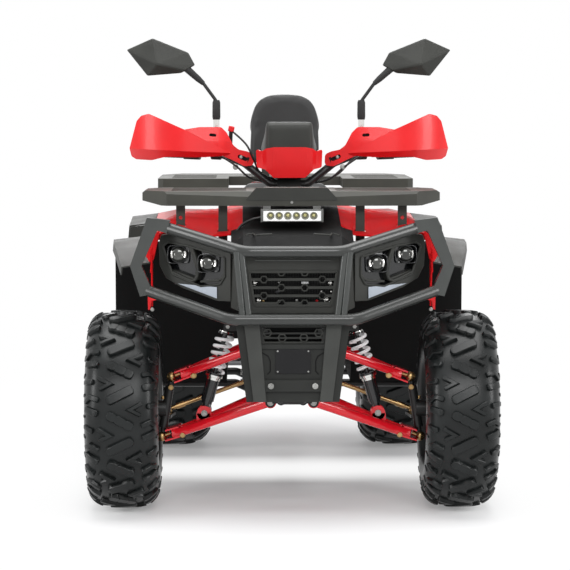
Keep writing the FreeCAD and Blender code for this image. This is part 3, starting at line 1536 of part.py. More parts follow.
def build():
    """Every node by name."""
    nodes = {}
    nodes["rear_cowl"] = rear_cowl()
    nodes["upper_frame"] = upper_frame(nodes["rear_cowl"])
    nodes["nose_guard"] = nose_guard()
    nodes["front_frame"], nodes["lower_frame"] = lower_frame(nodes["upper_frame"], nodes["nose_guard"])
    nodes["engine"] = engine()
    nodes["exhaust"] = exhaust()
    lower_arm, lower_stub, lower_run = wishbone(lower_pivot, lower_ball, lower_pivot_spread, 11.5)
    upper_arm, upper_stub, upper_run = wishbone(upper_pivot, upper_ball, upper_pivot_spread, 11)
    tab_half = shock_eye_width / 2 + pivot_clearance
    tabs = []
    for end in (-1, 1):
        y0, y1 = sorted((front_axle_y + end * tab_half, front_axle_y + end * (tab_half + 5)))
        x, z = shock_foot
        ear = [(x - 24, z - 26), (x + 22, z - 42), (x + 12, z + 6), (x - 4, z + 14), (x - 16, z + 6)]
        tabs.append(prism_y(ear, y0, y1))
    foot = corner(shock_foot)
    reach = V(0, tab_half + 8, 0)
    tabs.append(rod(foot - reach, foot + reach, pivot_bolt_radius))
    saddle = [(x - 26, z - 34), (x + 24, z - 54), (x + 24, z - 44), (x - 26, z - 22)]
    tabs.append(prism_y(saddle, front_axle_y - 58, front_axle_y + 58))
    lower_arm = fused([lower_arm] + tabs)
    nodes["front_arms"] = Part.makeCompound([lower_arm, mirrored(lower_arm), upper_arm, mirrored(upper_arm)])
    joints = [ball_joint(lower_ball, lower_stub, lower_run), ball_joint(upper_ball, upper_stub, upper_run)]
    nodes["ball_joints"] = Part.makeCompound(joints + [mirrored(j) for j in joints])
    rear_body, rear_coil = rear_damper()
    front_coil = coil(shock_point(spring_span[0]), shock_point(spring_span[1]), coil_radius, coil_wire, coil_turns)
    front_body = damper()
    nodes["dampers"] = Part.makeCompound([front_body, mirrored(front_body), rear_body])
    nodes["springs"] = Part.makeCompound([front_coil, mirrored(front_coil), rear_coil])
    nodes["knuckle_left"] = knuckle()
    nodes["knuckle_right"] = mirrored(nodes["knuckle_left"])
    nodes["tie_rod_left"] = tie_rod()
    nodes["tie_rod_right"] = mirrored(nodes["tie_rod_left"])
    front_tyre, front_rim = front_wheel()
    nodes["front_tyre_left"] = front_tyre
    nodes["front_tyre_right"] = mirrored(front_tyre)
    nodes["front_rim_left"] = front_rim
    nodes["front_rim_right"] = mirrored(front_rim)
    rear_tyre = tyre(rear_centre, rear_tyre_width)
    rear_rim = rim(rear_centre, rear_tyre_width, rear_dish, rear_hub, axle_radius + 0.1, 1)
    nodes["rear_tyres"] = pair(rear_tyre)
    nodes["rear_rims"] = pair(rear_rim)
    nodes["rear_axle"] = rear_axle()
    nodes["swingarm"] = swingarm()
    nodes["chain"] = chain()
    top_bar = bumper_bar(125, top_bar_z, corner_top)
    low_bar = bumper_bar(161, low_bar_z, corner_low)
    nodes["bumper_top_bar"] = top_bar
    nodes["bumper_low_bar"] = low_bar
    end_plate = side_plate([top_bar, low_bar])
    nodes["bumper_uprights"] = Part.makeCompound([bumper_posts([top_bar, low_bar]), pair(end_plate)])
    nodes["nose_cover"] = nose_cover()
    nodes["grille"] = grille()
    nodes["lamp_bezels"] = pair(bezel())
    nodes["headlamps"] = pair(headlamp())
    nodes["running_lights"] = pair(running_light())
    nodes["front_cowl"] = pair(front_cowl())
    nodes["front_flares"] = front_flares(nodes["front_cowl"])
    nodes["footwell_left"] = footwell()
    nodes["footwell_right"] = mirrored(nodes["footwell_left"])
    nodes["tank_cover"] = tank_cover()
    nodes["side_covers"] = pair(side_cover())
    nodes["seat"] = seat()
    nodes["rear_flares"] = rear_flares()
    nodes["tail_panel"] = tail_panel()
    nodes["tail_lights"] = tail_lights()
    nodes["front_rack"] = front_rack()
    nodes["rear_rack"] = fused([rear_rack(nodes["upper_frame"]), backrest_stays()])
    nodes["light_bar"] = light_bar()
    nodes["backrest"] = backrest()
    bar = handlebar()
    nodes["handlebar"] = bar
    nodes["steering_column"] = steering_column(bar)
    nodes["grips"] = grips()
    nodes["bar_controls"] = bar_controls(bar)
    nodes["mirrors"] = pair(mirror())
    nodes["handguards"] = pair(handguard(bar))
    nodes["instrument_cowl"] = bar_cowl()
    nodes["instrument_pod"] = instrument_pod(nodes["steering_column"], bar, nodes["instrument_cowl"])
    return nodes


def main():
    os.makedirs("parts", exist_ok=True)
    for name, shape in build().items():
        shape.exportStep(os.path.join("parts", name + ".step"))
        box = shape.BoundBox
        print(f"{name}: {len(shape.Solids)} solids, valid {shape.isValid()}, {box.XLength:.0f} x {box.YLength:.0f} x {box.ZLength:.0f}")


main()
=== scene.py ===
import json
import math
import bmesh
import bpy
from mathutils import Matrix, Vector
from mathutils.bvhtree import BVHTree


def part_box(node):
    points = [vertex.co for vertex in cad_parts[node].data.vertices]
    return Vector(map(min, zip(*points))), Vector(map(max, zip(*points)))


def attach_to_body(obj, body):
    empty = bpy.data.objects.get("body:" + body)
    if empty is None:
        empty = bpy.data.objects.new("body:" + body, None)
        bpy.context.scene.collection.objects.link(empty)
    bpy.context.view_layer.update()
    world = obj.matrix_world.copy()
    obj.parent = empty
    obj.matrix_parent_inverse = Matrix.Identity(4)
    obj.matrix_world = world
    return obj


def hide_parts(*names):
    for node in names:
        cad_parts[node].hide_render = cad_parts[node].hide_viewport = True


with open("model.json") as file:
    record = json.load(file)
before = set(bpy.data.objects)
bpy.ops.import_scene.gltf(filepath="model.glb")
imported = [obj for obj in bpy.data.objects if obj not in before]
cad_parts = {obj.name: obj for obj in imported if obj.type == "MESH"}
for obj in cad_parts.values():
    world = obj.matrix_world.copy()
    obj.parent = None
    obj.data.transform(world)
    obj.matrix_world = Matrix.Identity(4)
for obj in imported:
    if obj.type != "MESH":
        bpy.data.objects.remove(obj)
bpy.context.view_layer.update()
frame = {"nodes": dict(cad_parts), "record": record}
bodyOfNode = {n: b for b, names in frame["record"]["behaviour"]["bodies"].items() for n in names}
slotOfNode = {s["node"]: s["material_slot"] for s in frame["record"]["subparts"]}
scene = bpy.context.scene
print("quad bike: frame loaded")

# Camera, where the photograph was taken from

cameraValues = {
    "place": (-0.117, -7.09, 1.095),
    "lens": 153.4,
    "sensor": 36.0,
    "pitch": -4.356,
    "yaw": 0.887,
    "reach": 100.0,
}

cameraData = bpy.data.cameras.new("photoCamera")
cameraData.lens = cameraValues["lens"]
cameraData.sensor_width = cameraValues["sensor"]
cameraData.clip_end = cameraValues["reach"]
camera = bpy.data.objects.new("photoCamera", cameraData)
camera.location = cameraValues["place"]
camera.rotation_euler = (math.radians(90.0 + cameraValues["pitch"]), 0.0, -math.radians(cameraValues["yaw"]))
scene.collection.objects.link(camera)
scene.camera = camera
scene.view_settings.view_transform = "Standard"

# Studio: pale floor, soft lamps from above, the front and both sides

studioValues = {
    "floorSize": 80.0,
    "floorColour": (0.90, 0.90, 0.90, 1.0),
    "lift": 0.22,           # white shown by the floor itself close to the quad
    # painted light that lifts the shadow, by axis: middle, where the band starts and ends beside it, and its
    # white at both
    "paleBands": {"X": (0.0, 0.34, 0.66, 0.0, 0.94), "Y": (0.09, 0.03, 0.40, 0.90, 0.0)},
    "whiteFrom": 1.1,       # distance from the quad where the floor starts to turn white
    "whiteTo": 2.6,
    "skyColour": (0.94, 0.96, 1.0, 1.0),
    "skyStrength": 0.34,
    # name: place, target, size, power
    "lamps": {
        "topLamp": ((0.0, -0.2, 4.2), (0.0, 0.0, 0.0), (3.4, 3.4), 150.0),
        "frontLamp": ((0.4, -5.4, 3.2), (0.0, -0.4, 0.5), (2.6, 1.6), 108.0),
        "leftLamp": ((-4.4, -2.4, 2.0), (0.0, 0.0, 0.6), (1.2, 2.8), 95.0),
        "rightLamp": ((4.4, -2.4, 2.0), (0.0, 0.0, 0.6), (1.2, 2.8), 95.0),
        "backLamp": ((0.0, 4.6, 3.4), (0.0, 0.4, 0.5), (3.0, 1.4), 60.0),
    },
}
white = (1.0, 1.0, 1.0, 1.0)


def areaLamp(name, place, target, size, power):
    data = bpy.data.lights.new(name, "AREA")
    data.shape = "RECTANGLE"
    data.size, data.size_y = size
    data.energy = power
    lamp = bpy.data.objects.new(name, data)
    lamp.location = place
    lamp.rotation_euler = (Vector(target) - Vector(place)).to_track_quat("-Z", "Y").to_euler()
    scene.collection.objects.link(lamp)


def clearTree(owner):
    owner.use_nodes = True
    owner.node_tree.nodes.clear()
    return owner.node_tree


def addNode(tree, kind, inputs=None, **settings):
    # a new node; each input takes a value, or a link where another node's socket is given
    node = tree.nodes.new(kind)
    for key, value in settings.items():
        setattr(node, key, value)
    for key, value in (inputs or {}).items():
        if isinstance(value, bpy.types.NodeSocket):
            tree.links.new(value, node.inputs[key])
        else:
            node.inputs[key].default_value = value
    return node


def addMath(tree, operation, *values, **settings):
    return addNode(tree, "ShaderNodeMath", dict(enumerate(values)), operation=operation, **settings).outputs[0]


def mapRange(tree, value, low, high, atLow, atHigh, kind="LINEAR"):
    inputs = {"Value": value, "From Min": low, "From Max": high, "To Min": atLow, "To Max": atHigh}
    return addNode(tree, "ShaderNodeMapRange", inputs, interpolation_type=kind).outputs["Result"]


def seenRays(tree):
    # 1 for rays of the camera, of glossy and of glass surfaces
    path = addNode(tree, "ShaderNodeLightPath").outputs
    first = addMath(tree, "ADD", path["Is Camera Ray"], path["Is Glossy Ray"])
    return addMath(tree, "ADD", first, path["Is Transmission Ray"], use_clamp=True)


def mixTo(tree, share, first, second, out):
    mix = addNode(tree, "ShaderNodeMixShader", {0: share, 1: first.outputs[0], 2: second.outputs[0]})
    addNode(tree, out, {"Surface": mix.outputs[0]})


def makeWorld():
    scene.world = bpy.data.worlds.new("studio")
    tree = clearTree(scene.world)
    seen = addNode(tree, "ShaderNodeBackground", {"Color": white})
    sky = {"Color": studioValues["skyColour"], "Strength": studioValues["skyStrength"]}
    mixTo(tree, seenRays(tree), addNode(tree, "ShaderNodeBackground", sky), seen, "ShaderNodeOutputWorld")


def makeFloor():
    # shows its own shadows near the quad, lifted by painted light in a band between the axles and beside the
    # wheels, and plain white further out
    v = studioValues
    half = v["floorSize"] / 2
    data = bpy.data.meshes.new("floor")
    data.from_pydata([(-half, -half, 0), (half, -half, 0), (half, half, 0), (-half, half, 0)], [], [(0, 1, 2, 3)])
    floor = bpy.data.objects.new("floor", data)
    scene.collection.objects.link(floor)
    material = bpy.data.materials.new("floor")
    tree = clearTree(material)
    place = addNode(tree, "ShaderNodeTexCoord").outputs["Object"]
    reach = addNode(tree, "ShaderNodeVectorMath", {0: place}, operation="LENGTH").outputs["Value"]
    best = mapRange(tree, reach, v["whiteFrom"], v["whiteTo"], v["lift"], 1.0, "SMOOTHSTEP")
    split = addNode(tree, "ShaderNodeSeparateXYZ", {0: place}).outputs
    for axis, (middle, *band) in v["paleBands"].items():
        away = addMath(tree, "ABSOLUTE", addMath(tree, "SUBTRACT", split[axis], middle))
        best = addMath(tree, "MAXIMUM", best, mapRange(tree, away, *band, "SMOOTHSTEP"))
    pale = addNode(tree, "ShaderNodeBsdfDiffuse", {"Color": v["floorColour"]})
    shining = addNode(tree, "ShaderNodeEmission", {"Strength": 1.0})
    share = addMath(tree, "MULTIPLY", seenRays(tree), best)
    mixTo(tree, share, pale, shining, "ShaderNodeOutputMaterial")
    data.materials.append(material)


for name, values in studioValues["lamps"].items():
    areaLamp(name, *values)
makeWorld()
makeFloor()
print("quad bike: studio ready")

# Finishes. Shade, roughness and bump of each come from noise at the real scale, in metres.

finishes = {
    # name: colour, share of it in the dark spots, roughness from and to, grain, bump, what else differs
    "redPlastic": ((0.74, 0.009, 0.012), 0.9, (0.3, 0.38), 420.0, 0.02, {"coat": 0.12, "specular": 0.3}),
    "redDeep": ((0.70, 0.005, 0.008), 0.88, (0.45, 0.55), 420.0, 0.02, {"specular": 0.12}),
    # painted light and shade: a lighter and a darker copy of the guard's plastic
    "guardFace": ((0.044, 0.046, 0.042), 0.75, (0.42, 0.56), 1100.0, 0.2, {"specular": 0.3}),
    "guardShade": ((0.019, 0.020, 0.018), 0.72, (0.42, 0.56), 1100.0, 0.2, {"specular": 0.25}),
    "bowlGrey": ((0.34, 0.34, 0.30), 0.7, (0.25, 0.35), 500.0, 0.02, {"metallic": 0.5}),
    "blackPlastic": ((0.030, 0.031, 0.027), 0.68, (0.42, 0.56), 1100.0, 0.22, {"specular": 0.3}),
    "rackPlastic": ((0.050, 0.050, 0.041), 0.7, (0.42, 0.55), 1100.0, 0.22, {"specular": 0.3}),
    # painted light: a lighter copy of the bumper paint for the front-facing uprights and end plates, and for the
    # nose's bright trim line
    "barBright": ((0.044, 0.048, 0.045), 0.8, (0.26, 0.36), 1500.0, 0.08, {"coat": 0.3}),
    "framePaint": ((0.012, 0.012, 0.012), 0.75, (0.32, 0.45), 600.0, 0.04, {}),
    "bumperPaint": ((0.028, 0.030, 0.028), 0.8, (0.26, 0.36), 1500.0, 0.08, {"coat": 0.25}),
    "armPaint": ((0.86, 0.010, 0.022), 0.92, (0.16, 0.24), 500.0, 0.02, {"coat": 0.4}),
    "engineAlloy": ((0.10, 0.10, 0.105), 0.6, (0.4, 0.6), 900.0, 0.2, {"metallic": 0.8}),
    "goldZinc": ((0.60, 0.40, 0.18), 0.45, (0.22, 0.45), 160.0, 0.04, {"metallic": 1.0}),
    "damperSteel": ((0.014, 0.014, 0.015), 0.8, (0.15, 0.25), 500.0, 0.01, {"coat": 0.5}),
    # the springs glow a little as painted light
    "springPaint": ((0.93, 0.93, 0.94), 0.96, (0.22, 0.32), 500.0, 0.02, {"glow": 0.10, "coat": 0.3}),
    "driveSteel": ((0.36, 0.36, 0.37), 0.6, (0.25, 0.45), 250.0, 0.05, {"metallic": 1.0}),
    "rimPaint": ((0.012, 0.012, 0.013), 0.8, (0.26, 0.36), 800.0, 0.03, {}),
    "tyreRubber": ((0.0100, 0.0120, 0.0120), 0.5, (0.26, 0.38), 420.0, 0.16, {"specular": 0.3}),
    "gripRubber": ((0.014, 0.014, 0.014), 0.7, (0.6, 0.8), 900.0, 0.2, {}),
    "lampDark": ((0.012, 0.013, 0.014), 0.8, (0.06, 0.12), 300.0, 0.01, {"coat": 0.6}),
    "paleLens": ((0.42, 0.46, 0.52), 0.94, (0.2, 0.3), 300.0, 0.02, {}),
    "redLens": ((0.42, 0.01, 0.012), 0.8, (0.1, 0.18), 260.0, 0.05, {}),
    "lampAlloy": ((0.16, 0.16, 0.155), 0.8, (0.3, 0.45), 700.0, 0.05, {"metallic": 0.5}),
    "brightSteel": ((0.80, 0.79, 0.76), 0.82, (0.14, 0.26), 300.0, 0.02, {"metallic": 1.0}),
    "blackSteel": ((0.02, 0.02, 0.02), 0.7, (0.3, 0.42), 500.0, 0.04, {"metallic": 0.3}),
    # the white face glows a little as painted light
    "whiteFace": ((0.95, 0.95, 0.94), 0.97, (0.3, 0.4), 600.0, 0.02, {"glow": 0.15}),
    "warmGlass": ((0.86, 0.80, 0.34), 0.8, (0.08, 0.14), 200.0, 0.01, {"coat": 0.8}),
    "eyeGlass": ((0.060, 0.062, 0.055), 0.25, (0.03, 0.07), 90.0, 0.01, {"metallic": 0.5, "coat": 1.0}),
    "mirrorGlass": ((0.86, 0.88, 0.90), 0.97, (0.02, 0.04), 60.0, 0.0, {"metallic": 1.0}),
    "dialGlass": ((0.05, 0.07, 0.075), 0.7, (0.05, 0.1), 200.0, 0.0, {"coat": 0.8}),
    "boltSteel": ((0.40, 0.40, 0.385), 0.6, (0.22, 0.36), 420.0, 0.03, {"metallic": 1.0}),
    # painted shade: near-black put where only shade is seen, in recesses and behind openings
    "cavityBlack": ((0.006, 0.006, 0.006), 0.7, (0.6, 0.75), 900.0, 0.1, {"specular": 0.15}),
    "cableSkin": ((0.012, 0.012, 0.012), 0.8, (0.32, 0.42), 700.0, 0.04, {}),
    "plateAlloy": ((0.005, 0.005, 0.006), 0.7, (0.12, 0.22), 900.0, 0.03, {"metallic": 0.2}),
}

finishValues = {
    "broad": (11.0, 6.0),       # scale and detail of the noise behind shade and roughness
    "fineDetail": 3.0,
    "bumpDistance": 0.001,
    "span": (0.32, 0.68),       # share of the noise that the shades run over
    "plain": {
        "Metallic": 0.0, "Coat Weight": 0.0, "Coat Roughness": 0.1, "Specular IOR Level": 0.4,
        "Emission Color": white, "Emission Strength": 0.0,
    },
    "inputs": {
        "metallic": "Metallic", "coat": "Coat Weight",
        "specular": "Specular IOR Level", "glow": "Emission Strength",
    },
}

# the seat cover: fine leather cells over a soft broad shade
vinylValues = {
    "broad": (14.0, 4.0),
    "shades": ((0.013, 0.013, 0.013), (0.022, 0.022, 0.022)),
    "rough": (0.45, 0.6),
    "cells": 520.0,
    "bump": (0.35, 0.0006),
    "more": {"Specular IOR Level": 0.35, "Sheen Weight": 0.08},
}


def makeSurface(name, broad, shades, rough, relief, bump, more):
    # shade and roughness follow broad noise, and the bump follows the relief's own texture
    material = bpy.data.materials.new(name)
    tree = clearTree(material)
    place = addNode(tree, "ShaderNodeTexCoord").outputs["Object"]
    spots = {"Scale": broad[0], "Detail": broad[1], "Vector": place}
    noise = addNode(tree, "ShaderNodeTexNoise", spots).outputs["Fac"]
    ramp = addNode(tree, "ShaderNodeValToRGB", {"Fac": noise})
    for element, position, shade in zip(ramp.color_ramp.elements, finishValues["span"], shades):
        element.position = position
        element.color = (*shade, 1.0)
    kind, output, inputs, settings = relief
    height = addNode(tree, kind, {**inputs, "Vector": place}, **settings).outputs[output]
    bumped = addNode(tree, "ShaderNodeBump", {"Strength": bump[0], "Distance": bump[1], "Height": height})
    shader = addNode(tree, "ShaderNodeBsdfPrincipled", {
        "Base Color": ramp.outputs["Color"],
        "Roughness": mapRange(tree, noise, *finishValues["span"], *rough),
        "Normal": bumped.outputs["Normal"],
        **more,
    })
    addNode(tree, "ShaderNodeOutputMaterial", {"Surface": shader.outputs[0]})
    return material


def makeFinish(name, colour, dark, rough, grain, bump, more):
    v = finishValues
    shades = ([c * dark for c in colour], colour)
    relief = ("ShaderNodeTexNoise", "Fac", {"Scale": grain, "Detail": v["fineDetail"]}, {})
    inputs = {**v["plain"], **{v["inputs"][key]: value for key, value in more.items()}}
    return makeSurface(name, v["broad"], shades, rough, relief, (bump, v["bumpDistance"]), inputs)


def makeVinyl():
    v = vinylValues
    relief = ("ShaderNodeTexVoronoi", "Distance", {"Scale": v["cells"]}, {"feature": "DISTANCE_TO_EDGE"})
    return makeSurface("seatVinyl", v["broad"], v["shades"], v["rough"], relief, v["bump"], v["more"])


materials = {name: makeFinish(name, *values) for name, values in finishes.items()}
materials["seatVinyl"] = makeVinyl()
print("quad bike: finishes made")

# Helpers for objects and points


def camel(name):
    first, *rest = name.split("_")
    return first + "".join(word.title() for word in rest)


def metres(points):
    return [(a / 1000, b / 1000) for a, b in points]


def mixed(low, high, share):
    return low + (high - low) * share


def circle(radius, count, start=0.0):
    # points of a circle, from the start angle in degrees on
    angles = (math.radians(start) + 2 * math.pi * k / count for k in range(count))
    return [(radius * math.cos(a), radius * math.sin(a)) for a in angles]


def paint(piece, finish):
    piece.data.materials.clear()
    piece.data.materials.append(materials[finish])


def asMesh(name, work):
    mesh = bpy.data.meshes.new(name)
    work.to_mesh(mesh)
    work.free()
    return mesh


def addObject(name, mesh, finish=None):
    piece = bpy.data.objects.new(name, mesh)
    scene.collection.objects.link(piece)
    if finish:
        paint(piece, finish)
    return piece


def settle(piece):
    # keeps what the piece's modifiers make as a plain mesh
    graph = bpy.context.evaluated_depsgraph_get()
    mesh = bpy.data.meshes.new_from_object(piece.evaluated_get(graph))
    piece.modifiers.clear()
    piece.data = mesh
    return piece


def meshPiece(name, work, finish, fold=32.0):
    # edges that turn by more than the fold's degrees stay sharp
    for edge in work.edges:
        edge.smooth = len(edge.link_faces) == 2 and edge.calc_face_angle(4.0) < math.radians(fold)
    for face in work.faces:
        face.smooth = True
    return addObject(name, asMesh(name, work), finish)


def attach(piece, body, slot, *nodes):
    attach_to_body(piece, body)
    if nodes:
        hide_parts(*nodes)
    return piece


def bevelEdges(piece, width, segments=1, angle=30.0, harden=False):
    bevel = piece.modifiers.new("edges", "BEVEL")
    bevel.width = width
    bevel.segments = segments
    bevel.limit_method = "ANGLE"
    bevel.angle_limit = math.radians(angle)
    bevel.harden_normals = harden


def giveWall(piece, wall, rounding):
    # thickness behind the outer face, then rounded edges
    solid = piece.modifiers.new("wall", "SOLIDIFY")
    solid.thickness = wall
    solid.offset = -1.0
    bevelEdges(piece, rounding, 3, 40)


def mirrorWork(work):
    # adds the same shape on the other side of the middle plane
    copy = bmesh.ops.duplicate(work, geom=work.verts[:] + work.edges[:] + work.faces[:])["geom"]
    for vert in [g for g in copy if isinstance(g, bmesh.types.BMVert)]:
        vert.co.x = -vert.co.x
    bmesh.ops.reverse_faces(work, faces=[g for g in copy if isinstance(g, bmesh.types.BMFace)])


def addPiece(name, work, finish, slot, *nodes, body="chassis", fold=32.0, wall=None, mirrored=False):
    # wall is the thickness behind the faces and the rounding of its edges
    if mirrored:
        mirrorWork(work)
    piece = meshPiece(name, work, finish, fold)
    if wall:
        giveWall(piece, *wall)
    return attach(piece, body, slot, *nodes)


# Helpers for shapes


def loft(work, rings, closed=False, caps=(0, -1), tip=None):
    # faces between rings of points, with a cap on the rings named, or drawn in to a tip
    rows = [[work.verts.new(point) for point in ring] for ring in rings]
    count = len(rows[0])
    faces = [work.faces.new(rows[end]) for end in (() if closed else caps)]
    for first, second in zip(rows, rows[1:] + (rows[:1] if closed else [])):
        for k in range(count):
            j = (k + 1) % count
            faces.append(work.faces.new((first[k], first[j], second[j], second[k])))
    if tip:
        top = work.verts.new(tip)
        faces += [work.faces.new((rows[-1][k], rows[-1][(k + 1) % count], top)) for k in range(count)]
    bmesh.ops.recalc_face_normals(work, faces=faces)
    return faces


def addTube(work, path, radius, sides=20):
    # radius is one value, or one for each point of the path
    path = [Vector(p) for p in path]
    radii = radius if isinstance(radius, list) else [radius] * len(path)
    tangent = (path[1] - path[0]).normalized()
    helper = Vector((0, 0, 1)) if abs(tangent.z) < 0.9 else Vector((0, 1, 0))
    normal = tangent.cross(helper).normalized()
    rings = []
    for point, before, after, size in zip(path, path[:1] + path, path[1:] + path[-1:], radii):
        ahead = (after - before).normalized()
        normal = (normal - ahead * normal.dot(ahead)).normalized()
        other = ahead.cross(normal)
        rings.append([point + normal * a + other * b for a, b in circle(size, sides)])
    loft(work, rings)


def addTorus(work, centre, radius, wire, start=0.0, turn=360.0, steps=40, sides=10):
    # a ring of round wire facing -Y, whole or a part of a turn
    closed = turn >= 360.0
    rings = []
    for i in range(steps if closed else steps + 1):
        angle = math.radians(start + turn * i / steps)
        out = Vector((math.cos(angle), 0.0, math.sin(angle)))
        rings.append([Vector(centre) + out * (radius + a) + Vector((0, b, 0)) for a, b in circle(wire, sides)])
    loft(work, rings, closed)


def addDome(work, centre, radius, rise, rings=8, sides=32):
    # a closed cap bulging towards -Y from the centre's plane
    x, y, z = centre
    rows = []
    for i in range(rings):
        angle = math.pi / 2 * i / rings
        across, lift = radius * math.cos(angle), rise * math.sin(angle)
        rows.append([(x + a, y - lift, z + b) for a, b in circle(across, sides)])
    loft(work, rows, caps=(0,), tip=(x, y - rise, z))


def barCorners(a, b, width):
    a, b = Vector(a), Vector(b)
    side = Vector((-(b - a).y, (b - a).x)).normalized() * width / 2
    return [a - side, b - side, b + side, a + side]


def addPrism(work, points, y0, y1):
    # an outline in the XZ plane drawn out from y0 to y1
    loft(work, [[(x, y, z) for x, z in points] for y in (y0, y1)])


def addBar(work, a, b, y0, y1, width):
    addPrism(work, barCorners(a, b, width), y0, y1)


def addHexRing(work, x, z, radius, wall, y0, y1, top=None):
    # six straight sides, without those that lie above the top
    outer = [(x + a, z + b) for a, b in circle(radius, 6)]
    inner = [(x + a, z + b) for a, b in circle(radius - wall, 6)]
    for k in range(6):
        j = (k + 1) % 6
        if top is None or (outer[k][1] + outer[j][1]) / 2 <= top:
            addPrism(work, (outer[k], outer[j], inner[j], inner[k]), y0, y1)


def addBox(work, centre, size, turn=None):
    matrix = Matrix.Translation(centre) @ (turn or Matrix()) @ Matrix.Diagonal((*size, 1.0))
    bmesh.ops.create_cube(work, size=1.0, matrix=matrix)


def turnAboutY(degrees):
    return Matrix.Rotation(math.radians(degrees), 4, "Y")


def spline(points, steps=8, before=None):
    # a smooth run through the points; before is the point that would lead into it
    points = [Vector(p) for p in points]
    ghost = [before or points[0] * 2 - points[1]] + points + [points[-1] * 2 - points[-2]]
    path = []
    for a, b, c, d in zip(ghost, ghost[1:], ghost[2:], ghost[3:]):
        for t in (k / steps for k in range(steps)):
            bend = (2 * a - 5 * b + 4 * c - d) * t ** 2 + (3 * b - a - 3 * c + d) * t ** 3
            path.append(0.5 * ((2 * b) + (c - a) * t + bend))
    return path + [points[-1]]


def cornerArc(before, corner, after, radius, steps):
    back, ahead = before - corner, after - corner
    most = min(back.length, ahead.length) * 0.48
    trim = min(radius * math.tan((math.pi - back.angle(ahead)) / 2), most)
    if trim < 1e-6:
        return [corner]
    start, end = corner + back.normalized() * trim, corner + ahead.normalized() * trim
    shares = (k / steps for k in range(steps + 1))
    return [(1 - t) ** 2 * start + 2 * t * (1 - t) * corner + t ** 2 * end for t in shares]


def roundCorners(points, radii, steps=5):
    # a closed outline with an arc at each corner; radii is one value, or one for each corner
    points = [Vector(p) for p in points]
    radii = radii if isinstance(radii, list) else [radii] * len(points)
    loop = []
    for before, corner, after, radius in zip(points[-1:] + points, points, points[1:] + points[:1], radii):
        loop += [tuple(q) for q in cornerArc(before, corner, after, radius, steps)]
    return loop


def roundPath(points, radius, steps=8):
    # an open path with an arc at each corner
    points = [Vector(p) for p in points]
    path = points[:1]
    for before, corner, after in zip(points, points[1:], points[2:]):
        path += cornerArc(before, corner, after, radius, steps)
    return path + points[-1:]


def obround(centre, half, radius, tilt, steps=8):
    lean = math.radians(tilt)
    loop = []
    for side in (1, -1):
        for k in range(steps + 1):
            angle = -math.pi / 2 + math.pi * k / steps + (0 if side > 0 else math.pi)
            x, z = side * half + radius * math.cos(angle), radius * math.sin(angle)
            loop.append((
                centre[0] + x * math.cos(lean) - z * math.sin(lean),
                centre[1] + x * math.sin(lean) + z * math.cos(lean),
            ))
    return loop


def along(table, x):
    # smooth value between the rows of (x, value)
    if x <= table[0][0]:
        return table[0][1]
    for i, ((xa, a), (xb, b)) in enumerate(zip(table, table[1:])):
        if x <= xb:
            before = table[max(i - 1, 0)]
            after = table[min(i + 2, len(table) - 1)]
            slopeA = (b - before[1]) / max(xb - before[0], 1e-6) * (xb - xa)
            slopeB = (after[1] - a) / max(after[0] - xa, 1e-6) * (xb - xa)
            t = (x - xa) / (xb - xa)
            return (
                a * (2 * t ** 3 - 3 * t ** 2 + 1) + slopeA * (t ** 3 - 2 * t ** 2 + t)
                + b * (3 * t ** 2 - 2 * t ** 3) + slopeB * (t ** 3 - t ** 2)
            )
    return table[-1][1]


def straight(table, x):
    # value between the rows of (x, value), with a fold at each row
    if x <= table[0][0]:
        return table[0][1]
    for (xa, a), (xb, b) in zip(table, table[1:]):
        if x <= xb:
            return mixed(a, b, (x - xa) / (xb - xa))
    return table[-1][1]


# Helpers for panels: a flat outline with holes, cut along its folds and bent to a depth


def flatPanel(outline, holes=()):
    work = bmesh.new()
    edges = []
    for loop in (outline, *holes):
        verts = [work.verts.new((x, 0.0, z)) for x, z in loop]
        edges += [work.edges.new((a, b)) for a, b in zip(verts, verts[1:] + verts[:1])]
    bmesh.ops.triangle_fill(work, edges=edges, use_beauty=True, use_dissolve=False, normal=(0, -1, 0))
    return work


def cutAlong(work, a, b):
    # an upright cut through the panel along the line from a to b in its plane
    normal = Vector((b[1] - a[1], 0.0, a[0] - b[0]))
    geometry = work.verts[:] + work.edges[:] + work.faces[:]
    bmesh.ops.bisect_plane(work, geom=geometry, plane_co=(a[0], 0.0, a[1]), plane_no=normal)


def turnFaces(faces, side=-1):
    # flips the faces that look away from this side of Y
    for face in faces:
        face.normal_update()
        if face.normal.y * side < 0:
            face.normal_flip()


def bendPanel(work, depth):
    # depth is one value, or gives one for each (x, z)
    for vert in work.verts:
        vert.co.y = depth(vert.co.x, vert.co.z) if callable(depth) else depth
    turnFaces(work.faces)


# Helpers for the CAD nodes

surfaceOf = {}


def cadWork(node):
    work = bmesh.new()
    work.from_mesh(frame["nodes"][node].data)
    bmesh.ops.remove_doubles(work, verts=work.verts, dist=refineValues["merge"])
    return work


def surfaceTree(mesh):
    return BVHTree.FromPolygons([v.co for v in mesh.vertices], [p.vertices for p in mesh.polygons])


def rayOn(node, origin, direction, reach):
    # the first point of the CAD surface that the ray meets, or none
    if node not in surfaceOf:
        surfaceOf[node] = surfaceTree(frame["nodes"][node].data)
    return surfaceOf[node].ray_cast(origin, direction, reach)[0]


def seatOn(node, place, aim):
    # the point of the CAD surface met by a line that comes in against the aim
    aim = Vector(aim).normalized()
    return rayOn(node, Vector(place) + aim * 0.08, -aim, 0.16) or Vector(place)


# Geometry trees


def newTree(name, sockets):
    tree = bpy.data.node_groups.new(name, "GeometryNodeTree")
    tree.interface.new_socket("Geometry", in_out="OUTPUT", socket_type="NodeSocketGeometry")
    for label, kind in {"Geometry": "Geometry", **sockets, "Finish": "Material"}.items():
        tree.interface.new_socket(label, in_out="INPUT", socket_type="NodeSocket" + kind)
    return tree, addNode(tree, "NodeGroupInput").outputs


